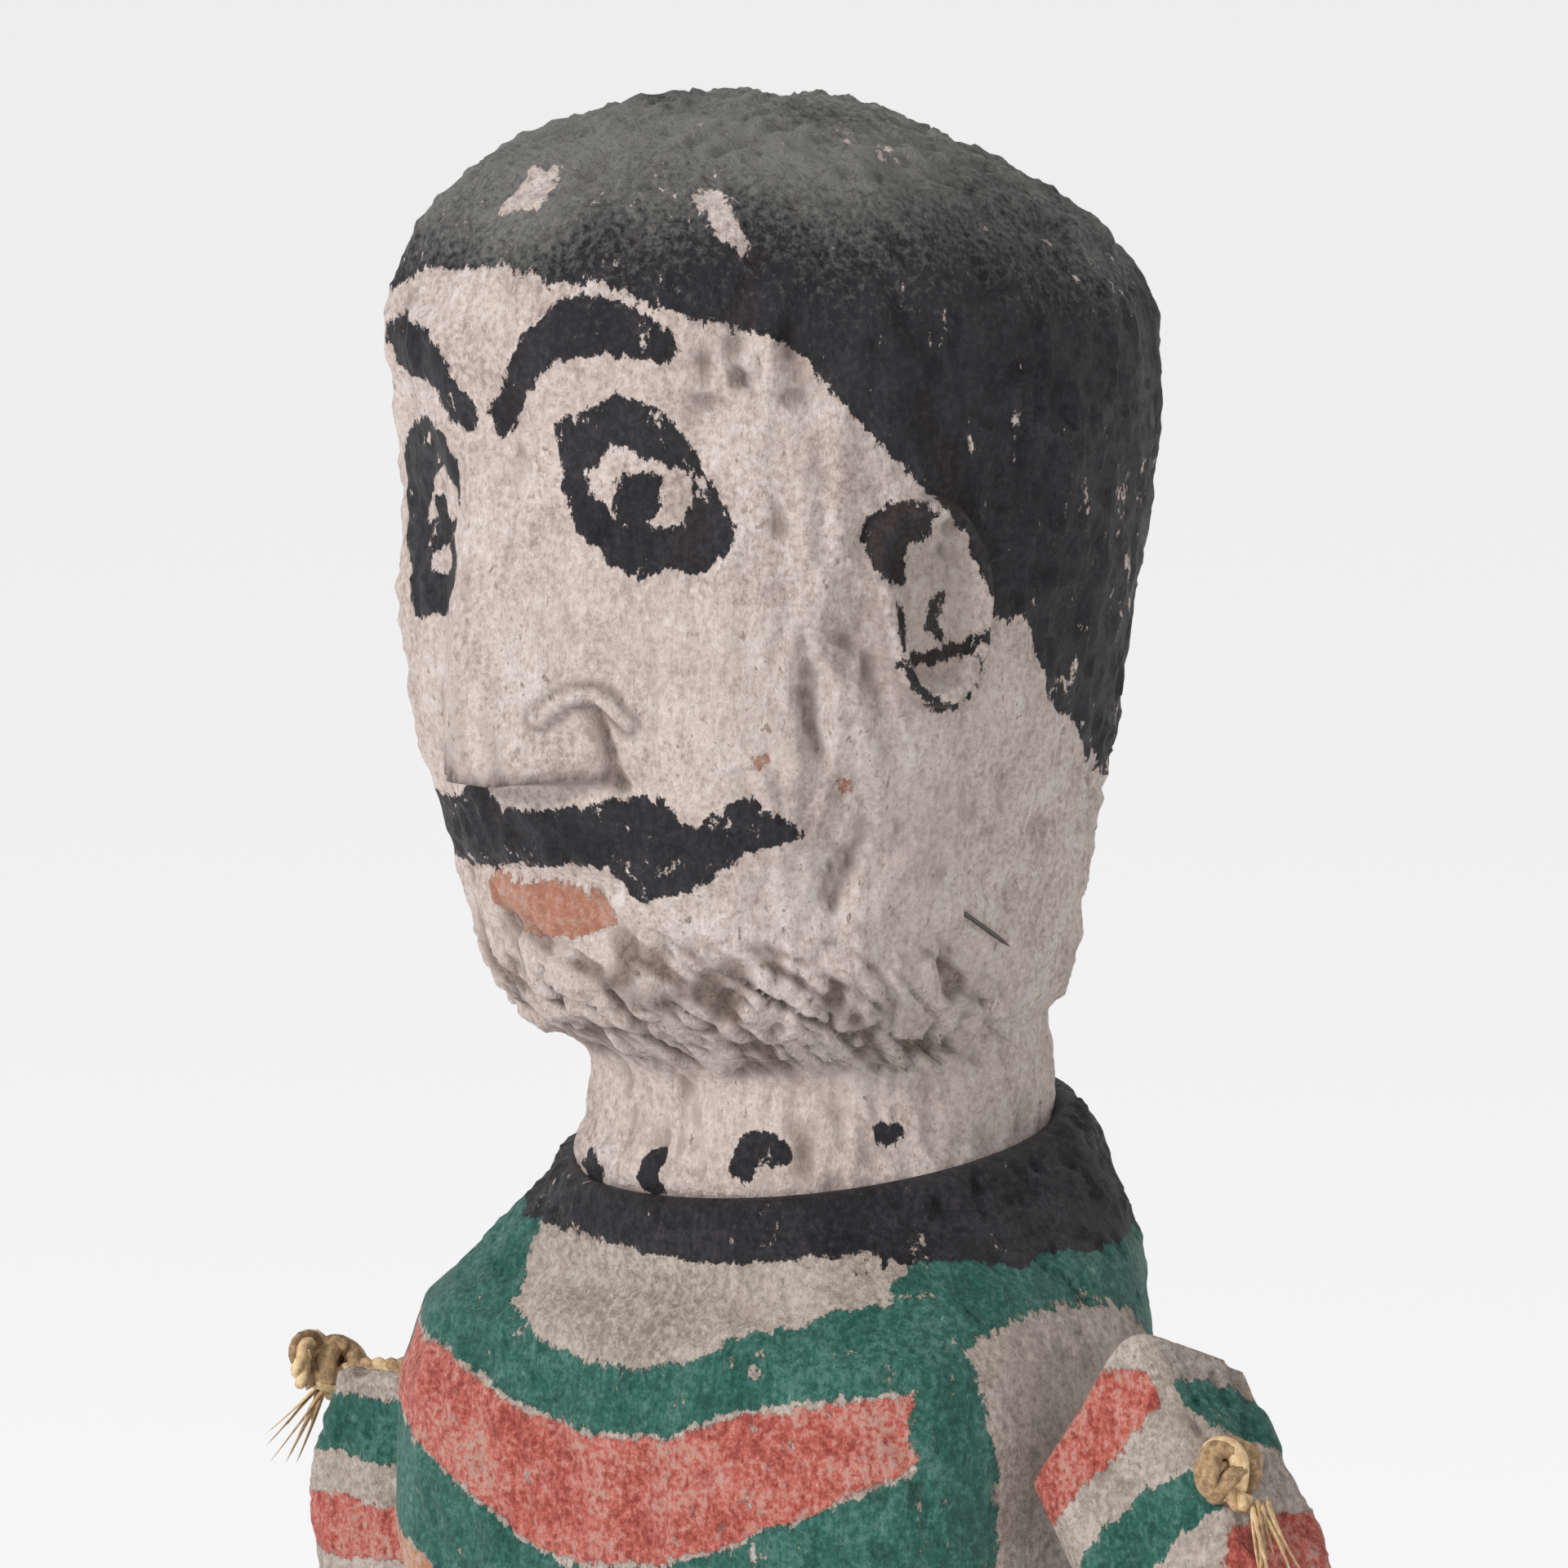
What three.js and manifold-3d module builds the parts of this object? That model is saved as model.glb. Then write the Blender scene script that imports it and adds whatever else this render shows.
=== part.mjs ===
// Carved and painted wooden rod puppet, in millimetres: +Z up, facing -Y, its left side at +X.
// The origin is the middle of the central rod's foot.
import * as THREE from 'three';
import { mergeVertices } from 'three/addons/utils/BufferGeometryUtils.js';
import Module from 'manifold-3d';

const wasm = await Module();
wasm.setup();

// Driving dimensions
const clearance = 0.35;       // gap between pieces that touch
const boreClearance = 0.4;    // gap round a turning rod or cord
const roundSides = 28;        // sides of a round rod or bore
const cordSides = 10;         // sides of a cord

const rod = {
  footRadius: 5,
  footTaper: 40,
  gripRadius: 11,
  shaftRadius: 6,
  gripLength: 340,            // foot to the shoulder that the torso sits on
  depthInHead: 30,            // how far the shaft reaches above the chin
};

const torso = {
  height: 129,                // underside to the seat of the neck
  halfWidth: 50,              // over the flat sides
  chestDepth: 31,             // chest or back from the torso's own middle
  middle: -7,                 // the torso's middle, ahead of the rod
  waistHalfWidth: 41,
  waistDepth: 27,
  collarRise: 10,             // how far the collar climbs behind the neck
  collarWall: 3,
};

const neck = {
  radius: 28,
  height: 21,                 // seat to chin
  spigotRadius: 17,
  spigotLength: 16,
};

const head = {
  height: 112,                // chin to crown
  halfWidth: 42,
  halfDepth: 48.5,
  middle: -7,                 // the head's middle, ahead of the rod
  sides: 44,
};

const nose = {
  root: 74,                   // heights above the chin
  base: 32,
  tip: 33.5,
  reach: 7.5,                 // how far the tip stands out from the face
  halfWidth: 15,
  ridgeHalfWidth: 4.5,
};

const peg = {
  radius: 2,
  height: 8,                  // above the chin
  reach: 9,                   // past the rod's middle
};

const cord = {
  radius: 1.9,
  ahead: -10,                 // the shoulder cord's line, ahead of the rod
  belowChin: 50,
  tieInner: 14,               // where the middle cord meets each turning end
  knotRadius: 4.6,
  elbowKnotRadius: 4,
  elbowKnotHeight: 2.6,
};

const arm = {
  gap: 0.8,                   // arm's inner face to the torso's flat side
  depth: 18,
  middle: 1,                  // the arm's middle, behind the cord's line
  upperLength: 94.5,
  elbowRadius: 9.5,
  elbowAbove: 9.5,            // elbow axis to the end of the upper arm
  tenonWidth: 8,
  forearmLength: 115,         // elbow axis to the fingertips
  shoulderDrop: 11.5,         // elbow axis to the forearm's square shoulder
  elbowWidth: 20,
  forearmDepth: 17,
  wristWidth: 15,
  wristDepth: 14,
  handThickness: 12,
  handWidth: 26,
  tieAbove: 10,               // hand hole to the fingertips
};

const sides = {
  left: { sign: 1, width: 27, spread: 35, holeDrop: 18 },
  right: { sign: -1, width: 24, spread: 0, holeDrop: 3 },
};

const tie = {
  halfWidth: 8.5,
  halfHeight: 10,
  radius: 1.1,
  knotRadius: 3.2,
};

const handRod = {
  radius: 2.6,
  length: 215,
  bindingLength: 16,
  bindingWall: 1,
  bindingDrop: 6,
};

const skirt = {
  top: 37,                    // above the torso's underside
  hemHeight: 150,
  wall: 1.8,
  hemHalfWidth: 44,
  hemDepth: 41,
};

const sash = {
  height: 18,
  drop: 8,                    // skirt's top edge to the sash's middle
  wall: 2.4,
  knotWidth: 20,
  knotHeight: 16,
  knotDepth: 8,
  tailLength: 70,
  tailWidth: 14,
  tailDepth: 3,
  tailAngle: 8,
};

// Levels worked out from them
const torsoBottom = rod.gripLength + clearance;
const seat = torsoBottom + torso.height;
const chin = seat + clearance + neck.height;
const cordLevel = chin - cord.belowChin;
const shaftTop = chin + rod.depthInHead;
const skirtTop = torsoBottom + skirt.top;

const woodFinish = { roughness: 0.85, metalness: 0 };
const finishes = {
  skinPaint: { color: 0xcdbfb5, ...woodFinish },
  shirtPaint: { color: 0x3e6a5c, ...woodFinish },
  plantFibre: { color: 0xc2a888, roughness: 0.95, metalness: 0 },
  bamboo: { color: 0xb9975f, roughness: 0.6, metalness: 0 },
  skirtCloth: { color: 0x6b3a2e, roughness: 0.95, metalness: 0 },
  sashCloth: { color: 0x8a4a2a, roughness: 0.95, metalness: 0 },
};

const radians = THREE.MathUtils.degToRad;

// Solids: merged to shared vertices, joined and cut
function solid(geometry) {
  const bare = geometry.index ? geometry.toNonIndexed() : geometry.clone();
  bare.deleteAttribute('normal');
  bare.deleteAttribute('uv');
  const merged = mergeVertices(bare, 1e-4);
  const mesh = new wasm.Mesh({
    numProp: 3,
    vertProperties: new Float32Array(merged.attributes.position.array),
    triVerts: new Uint32Array(merged.index.array),
  });
  mesh.merge();
  return new wasm.Manifold(mesh);
}

function geometryOf(manifold) {
  const mesh = manifold.getMesh();
  const geometry = new THREE.BufferGeometry();
  geometry.setAttribute('position', new THREE.BufferAttribute(mesh.vertProperties, 3));
  geometry.setIndex(new THREE.BufferAttribute(mesh.triVerts, 1));
  return geometry;
}

function join(first, ...others) {
  return geometryOf(others.reduce((whole, other) => whole.add(solid(other)), solid(first)));
}

function cut(first, ...others) {
  return geometryOf(others.reduce((whole, other) => whole.subtract(solid(other)), solid(first)));
}

// A closed solid through level ovals: power 2 is round, 4 is nearly square.
// front and back are depths from the oval's centre towards -Y and +Y.
function loft(sections, segments) {
  const profile = sections.map((section, level) => new THREE.Vector2(1, level));
  profile.unshift(new THREE.Vector2(0, 0));
  profile.push(new THREE.Vector2(0, sections.length - 1));
  const geometry = new THREE.LatheGeometry(profile, segments).rotateX(Math.PI / 2);
  const points = geometry.attributes.position;
  for (let i = 0; i < points.count; i += 1) {
    const section = sections[Math.round(points.getZ(i))];
    const { halfWidth, front, back = front, power = 2, x = 0, y = 0, tilt = 0 } = section;
    const across = points.getX(i);
    const along = points.getY(i);
    const size = Math.hypot(across, along) < 0.5 ? 0
      : (Math.abs(across) ** power + Math.abs(along) ** power) ** (-1 / power);
    const depth = along < 0 ? front : back;
    const placedY = y + along * size * depth;
    points.setXYZ(i, x + across * size * halfWidth, placedY, section.z + tilt * placedY);
  }
  return geometry;
}

function cylinder(radius, from, to, segments = roundSides) {
  const line = new THREE.Vector3().subVectors(to, from);
  const geometry = new THREE.CylinderGeometry(radius, radius, line.length(), segments);
  const turn = new THREE.Quaternion().setFromUnitVectors(
    new THREE.Vector3(0, 1, 0),
    line.clone().normalize(),
  );
  const middle = new THREE.Vector3().addVectors(from, to).multiplyScalar(0.5);
  return geometry.applyQuaternion(turn).translate(middle.x, middle.y, middle.z);
}

function upright(radius, from, to) {
  return cylinder(radius, new THREE.Vector3(0, 0, from), new THREE.Vector3(0, 0, to));
}

function ball(radius, centre, squash = 1) {
  const geometry = new THREE.SphereGeometry(radius, cordSides + 2, cordSides - 2);
  return geometry.scale(squash, 1, 1).translate(centre.x, centre.y, centre.z);
}

// A cord with round ends between two points
function cordBetween(from, to, radius = cord.radius) {
  const line = new THREE.Vector3().subVectors(to, from);
  const straight = Math.max(line.length() - 2 * radius, radius);
  const geometry = new THREE.CapsuleGeometry(radius, straight, 3, cordSides);
  const turn = new THREE.Quaternion().setFromUnitVectors(
    new THREE.Vector3(0, 1, 0),
    line.clone().normalize(),
  );
  const middle = new THREE.Vector3().addVectors(from, to).multiplyScalar(0.5);
  return geometry.applyQuaternion(turn).translate(middle.x, middle.y, middle.z);
}

function meshOf(name, geometry, finish) {
  const mesh = new THREE.Mesh(geometry, new THREE.MeshStandardMaterial(finishes[finish]));
  mesh.name = name;
  return mesh;
}

// Central rod: a tapered foot, a grip, and a slimmer shaft up into the head
function centralRod() {
  const profile = [
    [0, 0],
    [rod.footRadius, 0],
    [rod.gripRadius, rod.footTaper],
    [rod.gripRadius, rod.gripLength],
    [rod.shaftRadius, rod.gripLength],
    [rod.shaftRadius, shaftTop],
    [0, shaftTop],
  ].map(([radius, level]) => new THREE.Vector2(radius, level));
  const turned = new THREE.LatheGeometry(profile, roundSides).rotateX(Math.PI / 2);
  const hole = peg.radius + clearance;
  return cut(turned, pegLine(hole, peg.reach + rod.shaftRadius));
}

function pegLine(radius, reach) {
  const level = chin + peg.height;
  return cylinder(
    radius,
    new THREE.Vector3(0, -reach, level),
    new THREE.Vector3(0, neck.radius + head.halfDepth, level),
    cordSides + 2,
  );
}

function headPeg() {
  const level = chin + peg.height;
  return cylinder(
    peg.radius,
    new THREE.Vector3(0, -peg.reach, level),
    new THREE.Vector3(0, neck.radius - 1, level),
    cordSides + 2,
  );
}

// Share of the head's full size at each height above the chin: [height, face side, nape side]
const headShape = [
  [0.0, 0.6, 0.73],
  [0.03, 0.7, 0.76],
  [0.07, 0.77, 0.78],
  [0.13, 0.8, 0.79],
  [0.22, 0.86, 0.82],
  [0.34, 0.925, 0.88],
  [0.46, 0.955, 0.93],
  [0.58, 0.98, 0.975],
  [0.7, 1.0, 1.0],
  [0.8, 0.99, 0.975],
  [0.87, 0.92, 0.87],
  [0.925, 0.8, 0.73],
  [0.965, 0.62, 0.55],
  [0.99, 0.36, 0.32],
  [1.0, 0.12, 0.1],
];

function headBlock() {
  const level = seat + clearance;
  const round = { halfWidth: neck.radius, front: neck.radius, power: 2 };
  const sections = [
    { z: level, ...round },
    { z: chin - neck.height / 4, ...round },
  ];
  for (const [height, face, nape] of headShape) {
    sections.push({
      z: chin + height * head.height,
      halfWidth: head.halfWidth * (face + nape) / 2,
      front: head.halfDepth * face,
      back: head.halfDepth * nape,
      power: 2.15,
      y: head.middle,
    });
  }
  return loft(sections, head.sides);
}

// A wedge from the brow to the wings, broad on the face and narrow along its ridge
function noseWedge() {
  const face = head.middle - head.halfDepth * 0.93;
  const side = new THREE.Shape();
  side.moveTo(face + 4, nose.root);
  side.lineTo(face - nose.reach, nose.tip + 7);
  side.lineTo(face - nose.reach, nose.tip);
  side.lineTo(face - nose.reach + 2, nose.base);
  side.lineTo(face + 12, nose.base);
  side.lineTo(face + 12, nose.root);
  const wedge = new THREE.ExtrudeGeometry(side, { depth: 2, bevelEnabled: false, steps: 2 });
  wedge.translate(0, 0, -1).rotateY(Math.PI / 2).rotateX(Math.PI / 2);
  return placeNose(wedge, face);
}

// After the turns the extrusion runs along X and its outline lies in the YZ plane
function placeNose(wedge, face) {
  const points = wedge.attributes.position;
  for (let i = 0; i < points.count; i += 1) {
    const out = THREE.MathUtils.clamp(face - points.getY(i), 0, nose.reach) / nose.reach;
    const half = THREE.MathUtils.lerp(nose.halfWidth, nose.ridgeHalfWidth, out);
    points.setXYZ(i, points.getX(i) * half, points.getY(i), points.getZ(i) + chin);
  }
  return wedge;
}

function headSolid() {
  const whole = join(
    headBlock(),
    noseWedge(),
    upright(neck.spigotRadius, seat + clearance - neck.spigotLength, seat + neck.height / 2),
  );
  return cut(
    whole,
    upright(rod.shaftRadius + boreClearance, torsoBottom, shaftTop + clearance),
    pegLine(peg.radius + clearance, peg.reach + clearance),
  );
}

// Torso sections up to the shoulders, from the seat of the neck: below it, inside the flat sides,
// inside the full depth, the section's squareness, and how far its middle is ahead of the rod
const torsoShape = [
  [torso.height, torso.halfWidth - torso.waistHalfWidth + 1, torso.chestDepth - torso.waistDepth, 2.6, -3],
  [110, torso.halfWidth - torso.waistHalfWidth, torso.chestDepth - torso.waistDepth, 2.6, -3],
  [80, 4.5, 2, 2.9, -5],
  [45, 0, 0, 3.4, torso.middle],
  [26, 0, 0, 3.3, torso.middle],
  [17, 2.5, 1, 3, torso.middle],
];

// Torso: a carved block with flat sides, a waist and a sloping collar round the neck
function torsoSolid() {
  const collar = neck.radius + boreClearance + torso.collarWall;
  const rise = torso.collarRise / (2 * collar);
  const sections = torsoShape.map(([below, narrower, shallower, power, y]) => ({
    z: seat - below,
    halfWidth: torso.halfWidth - narrower,
    front: torso.chestDepth - shallower,
    power,
    y,
  }));
  sections.push({
    z: seat - 7,
    halfWidth: torso.halfWidth - 9,
    front: torso.chestDepth - 1.5,
    power: 2.5,
    y: -1,
    tilt: rise / 2,
  });
  sections.push({ z: seat + torso.collarRise / 2, halfWidth: collar, front: collar, tilt: rise });
  const block = loft(sections, head.sides);
  const top = seat + torso.collarRise * 2;
  return cut(
    block,
    upright(neck.radius + boreClearance, seat, top),
    upright(neck.spigotRadius + boreClearance, seat - neck.spigotLength - clearance, top),
    upright(rod.shaftRadius + boreClearance, torsoBottom - 10, top),
    shoulderLine(cord.radius + boreClearance, 2 * torso.halfWidth),
  );
}

function shoulderLine(radius, halfLength) {
  return cylinder(
    radius,
    new THREE.Vector3(-halfLength, cord.ahead, cordLevel),
    new THREE.Vector3(halfLength, cord.ahead, cordLevel),
    cordSides,
  );
}

// Skirt: one tube of cloth, open at the hem and tied round the waist
function skirtSection(level, grow) {
  const share = (level - skirt.hemHeight) / (skirtTop - skirt.hemHeight);
  const waist = skirt.wall + clearance;
  const halfWidth = THREE.MathUtils.lerp(skirt.hemHalfWidth, torso.halfWidth - 5.2 + waist, share);
  const depth = THREE.MathUtils.lerp(skirt.hemDepth, torso.chestDepth - 1.6 + waist, share);
  return { z: level, halfWidth: halfWidth + grow, front: depth + grow, power: 2.6, y: -4.5 * share };
}

function skirtSolid() {
  const levels = [0, 0.25, 0.5, 0.75, 1];
  const height = skirtTop - skirt.hemHeight;
  const outer = levels.map((share) => skirtSection(skirt.hemHeight + share * height, 0));
  const inner = levels.map((share) => skirtSection(skirt.hemHeight + share * height, -skirt.wall));
  inner[0].z -= skirt.wall;
  inner[inner.length - 1].z += skirt.wall;
  return cut(loft(outer, head.sides), loft(inner, head.sides));
}

function sashBand(half, grow, edgeGrow = grow) {
  const middle = skirtTop - sash.drop;
  return loft([
    skirtSection(middle - half, edgeGrow),
    skirtSection(middle - half * 0.6, grow),
    skirtSection(middle + half * 0.6, grow),
    skirtSection(middle + half, edgeGrow),
  ], head.sides);
}

function sashSolid() {
  const half = sash.height / 2;
  const outside = clearance + sash.wall;
  return cut(sashBand(half, outside, outside - 1), sashBand(half + 1, clearance));
}

// Knot and two hanging ends at the front of the waist
function sashKnot() {
  const level = skirtTop - sash.drop;
  const front = skirtSection(level - sash.height / 2, clearance + sash.wall + clearance);
  const face = front.y - front.front;
  const bow = new THREE.SphereGeometry(1, 14, 10)
    .scale(sash.knotWidth / 2, sash.knotDepth / 2, sash.knotHeight / 2)
    .translate(0, face - sash.knotDepth / 2, level);
  const ends = [-1, 1].map((side) => {
    const strip = new THREE.BoxGeometry(sash.tailWidth, sash.tailDepth, sash.tailLength, 1, 1, 4);
    strip.translate(0, 0, -sash.tailLength / 2).rotateY(-side * radians(sash.tailAngle));
    return strip.translate(0, face - sash.knotDepth / 2 - side * sash.tailDepth / 3, level);
  });
  return join(bow, ...ends);
}

// Arms are built hanging from the inner top edge, with outward along side * X
function outward(side, distance, below, ahead = 0) {
  return new THREE.Vector3(side.sign * distance, -ahead, -below);
}

function armSection(side, below, width, depth, power = 4) {
  return {
    z: -below,
    halfWidth: width / 2,
    front: depth / 2,
    power,
    x: side.sign * side.width / 2,
    y: arm.middle,
  };
}

const elbowBelow = arm.upperLength - arm.elbowAbove;
const elbowAxis = (side, from, to, radius, segments) => cylinder(
  radius,
  new THREE.Vector3(side.sign * side.width / 2 + from, arm.middle, -elbowBelow),
  new THREE.Vector3(side.sign * side.width / 2 + to, arm.middle, -elbowBelow),
  segments,
);

function elbowWidth(side) {
  return arm.elbowWidth + side.width - sides.left.width;
}

function shoulderHole(side, radius) {
  const start = outward(side, -side.width / 4, -side.holeDrop / 4);
  const end = outward(side, side.width * 1.25, side.holeDrop * 1.25);
  return cylinder(radius, start, end, cordSides);
}

function upperArm(side) {
  const half = elbowWidth(side) / 2;
  const block = loft([
    armSection(side, elbowBelow, elbowWidth(side), 2 * arm.elbowRadius),
    armSection(side, elbowBelow - 26, elbowWidth(side) + 2, 2 * arm.elbowRadius + 1),
    armSection(side, 38, side.width - 1, arm.depth - 1),
    armSection(side, 12, side.width, arm.depth),
    armSection(side, 0, side.width, arm.depth),
  ], 28);
  const slot = new THREE.BoxGeometry(
    arm.tenonWidth + 2 * boreClearance,
    arm.depth + 2,
    2 * (arm.elbowRadius + boreClearance),
  );
  slot.translate(side.sign * side.width / 2, arm.middle, -elbowBelow);
  return cut(
    join(block, elbowAxis(side, -half, half, arm.elbowRadius, roundSides)),
    slot,
    shoulderHole(side, cord.radius + boreClearance),
    elbowAxis(side, -side.width, side.width, cord.radius + boreClearance, cordSides),
  );
}

// The cord from the inner top edge out through the arm, with its knot
function armCord(side) {
  const length = Math.hypot(side.width, side.holeDrop);
  const start = outward(side, side.width, side.holeDrop).multiplyScalar(clearance * 1.2 / length);
  const reach = (length + cord.knotRadius * 0.7) / length;
  const knot = outward(side, side.width, side.holeDrop).multiplyScalar(reach);
  knot.x += side.sign * clearance;
  return join(cordBetween(start, knot), ball(cord.knotRadius, knot, 0.55));
}

function elbowCord(side) {
  const half = elbowWidth(side) / 2 + clearance;
  const pin = elbowAxis(side, -half - 1, half + 1, cord.radius, cordSides);
  const knots = [-1, 1].map((end) => {
    const knot = elbowAxis(
      side,
      end * half,
      end * (half + cord.elbowKnotHeight),
      cord.elbowKnotRadius,
      cordSides + 2,
    );
    return knot;
  });
  return join(pin, ...knots);
}

const tieBelow = elbowBelow + arm.forearmLength - arm.tieAbove;

function forearm(side) {
  const wide = elbowWidth(side);
  const below = (distance) => elbowBelow + distance;
  const block = loft([
    armSection(side, below(115), 8, 13, 2.2),
    armSection(side, below(111), 11, 21, 2.6),
    armSection(side, below(100), arm.handThickness, arm.handWidth, 3),
    armSection(side, below(80), arm.handThickness + 0.5, arm.handWidth - 2, 3),
    armSection(side, below(66), arm.wristWidth, arm.wristDepth, 2.6),
    armSection(side, below(40), wide, arm.forearmDepth, 3),
    armSection(side, below(arm.shoulderDrop), wide - 1, arm.forearmDepth, 3.6),
  ], 28);
  const tenon = new THREE.BoxGeometry(arm.tenonWidth, 2 * arm.elbowRadius - 4, arm.shoulderDrop + 6);
  tenon.translate(
    side.sign * side.width / 2,
    arm.middle,
    -elbowBelow - arm.shoulderDrop / 2 - 3,
  );
  const half = arm.tenonWidth / 2;
  return cut(
    join(block, tenon, elbowAxis(side, -half, half, arm.elbowRadius - 1, roundSides)),
    elbowAxis(side, -side.width, side.width, cord.radius + boreClearance, cordSides),
    handHole(side),
  );
}

function handHole(side) {
  const radius = tie.radius + boreClearance * 2.5;
  const middle = side.sign * side.width / 2;
  return cylinder(
    radius,
    new THREE.Vector3(middle - side.width, arm.middle, -tieBelow),
    new THREE.Vector3(middle + side.width, arm.middle, -tieBelow),
    cordSides,
  );
}

// A squarish loop of cord through the hand, with the knot that carries the rod at its foot
function handTie(side) {
  const size = (tie.halfWidth + tie.halfHeight) / 2;
  const loop = new THREE.TorusGeometry(size, tie.radius, 8, 28);
  const points = loop.attributes.position;
  for (let i = 0; i < points.count; i += 1) {
    const angle = Math.atan2(points.getY(i), points.getX(i));
    const grow = (Math.cos(angle) ** 4 + Math.sin(angle) ** 4) ** -0.25;
    points.setX(i, points.getX(i) * grow * tie.halfWidth / size);
    points.setY(i, points.getY(i) * grow * tie.halfHeight / size);
  }
  loop.rotateX(Math.PI / 2).translate(0, 0, -tie.halfHeight);
  const knot = ball(tie.knotRadius, new THREE.Vector3(0, 0, -2 * tie.halfHeight));
  return join(loop, knot).translate(side.sign * side.width / 2, arm.middle, -tieBelow);
}

// Hand rod and its binding hang from the middle of the tie's knot
function handRodSolid() {
  const top = -tie.knotRadius - clearance;
  const low = top - handRod.length;
  const profile = [
    [0, low],
    [handRod.radius * 0.8, low],
    [handRod.radius, low + 6],
    [handRod.radius, top - 2],
    [handRod.radius * 0.7, top],
    [0, top],
  ].map(([radius, level]) => new THREE.Vector2(radius, level));
  return new THREE.LatheGeometry(profile, 14).rotateX(Math.PI / 2);
}

function rodBinding() {
  const inner = handRod.radius + clearance;
  const outer = inner + handRod.bindingWall;
  const high = -tie.knotRadius - clearance - handRod.bindingDrop;
  const low = high - handRod.bindingLength;
  const profile = [
    [inner, low],
    [outer, low],
    [outer, high],
    [inner, high],
    [inner, low],
  ].map(([radius, level]) => new THREE.Vector2(radius, level));
  return new THREE.LatheGeometry(profile, 14).rotateX(Math.PI / 2);
}

// The piece of the shoulder cord that turns in the torso as its arm swings
function shoulderTie(side) {
  const inner = outward(side, cord.tieInner - torso.halfWidth - arm.gap, 0);
  const outer = outward(side, -clearance * 1.2, 0);
  return cordBetween(inner, outer);
}

function middleCord() {
  const half = cord.tieInner - 2 * clearance;
  return cordBetween(
    new THREE.Vector3(-half, cord.ahead, cordLevel),
    new THREE.Vector3(half, cord.ahead, cordLevel),
  );
}

function buildArm(name, side) {
  const shoulder = new THREE.Group();
  shoulder.position.set(side.sign * (torso.halfWidth + arm.gap), cord.ahead, cordLevel);
  shoulder.add(meshOf(`${name}_shoulder_tie`, shoulderTie(side), 'plantFibre'));
  const hanging = new THREE.Group();
  hanging.rotation.y = -side.sign * radians(side.spread);
  hanging.add(
    meshOf(`${name}_upper_arm`, upperArm(side), 'shirtPaint'),
    meshOf(`${name}_arm_cord`, armCord(side), 'plantFibre'),
    meshOf(`${name}_elbow_cord`, elbowCord(side), 'plantFibre'),
    meshOf(`${name}_forearm`, forearm(side), 'skinPaint'),
    meshOf(`${name}_hand_tie`, handTie(side), 'plantFibre'),
  );
  const plumb = new THREE.Group();
  plumb.position.set(
    side.sign * side.width / 2,
    arm.middle,
    -tieBelow - 2 * tie.halfHeight,
  );
  plumb.rotation.y = -hanging.rotation.y;
  plumb.add(
    meshOf(`${name}_hand_rod`, handRodSolid(), 'bamboo'),
    meshOf(`${name}_rod_binding`, rodBinding(), 'plantFibre'),
  );
  hanging.add(plumb);
  shoulder.add(hanging);
  return shoulder;
}

const puppet = new THREE.Group();
puppet.add(
  meshOf('central_rod', centralRod(), 'bamboo'),
  meshOf('head', headSolid(), 'skinPaint'),
  meshOf('head_peg', headPeg(), 'bamboo'),
  meshOf('torso', torsoSolid(), 'shirtPaint'),
  meshOf('shoulder_cord', middleCord(), 'plantFibre'),
  meshOf('skirt', skirtSolid(), 'skirtCloth'),
  meshOf('sash', sashSolid(), 'sashCloth'),
  meshOf('sash_knot', sashKnot(), 'sashCloth'),
  buildArm('left', sides.left),
  buildArm('right', sides.right),
);

export default puppet;
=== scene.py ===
import math
import bmesh
import bpy
import numpy as np
from mathutils import Matrix, Vector


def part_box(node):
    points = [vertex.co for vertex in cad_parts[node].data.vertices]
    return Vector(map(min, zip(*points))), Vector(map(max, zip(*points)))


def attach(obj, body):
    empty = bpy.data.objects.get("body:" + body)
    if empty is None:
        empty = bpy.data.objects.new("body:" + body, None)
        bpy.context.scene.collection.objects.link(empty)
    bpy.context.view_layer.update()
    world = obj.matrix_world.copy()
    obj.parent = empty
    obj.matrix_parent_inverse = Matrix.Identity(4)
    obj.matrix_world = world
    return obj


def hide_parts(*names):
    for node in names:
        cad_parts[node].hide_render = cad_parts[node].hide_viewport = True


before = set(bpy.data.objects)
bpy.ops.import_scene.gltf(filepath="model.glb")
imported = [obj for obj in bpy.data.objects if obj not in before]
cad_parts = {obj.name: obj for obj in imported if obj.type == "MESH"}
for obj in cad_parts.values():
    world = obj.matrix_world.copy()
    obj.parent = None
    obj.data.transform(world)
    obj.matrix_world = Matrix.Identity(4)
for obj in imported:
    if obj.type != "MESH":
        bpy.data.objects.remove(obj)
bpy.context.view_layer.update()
mm = 0.001


# measures shared by several pieces, in millimetres, as the frame was designed
carving = {
    "headHeight": 112.0,     # chin to crown
    "headHalfWidth": 42.0,
    "headHalfDepth": 48.5,
    "headMiddle": -7.0,      # the head's middle, ahead of the rod
    "neckRadius": 28.0,
    "perDegree": 0.8,        # millimetres of skin to a degree round the head
    "cordAhead": -10.0,      # the shoulder cord's line, ahead of the rod
    "cordBelowChin": 50.0,
}
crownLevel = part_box("head")[1].z / mm
chin = crownLevel - carving["headHeight"]
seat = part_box("torso")[1].z / mm - 10.0


def srgb(code):
    values = [int(code[i:i + 2], 16) / 255 for i in (1, 3, 5)]
    linear = [v / 12.92 if v <= 0.04045 else ((v + 0.055) / 1.055) ** 2.4 for v in values]
    return (*linear, 1.0)


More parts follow.
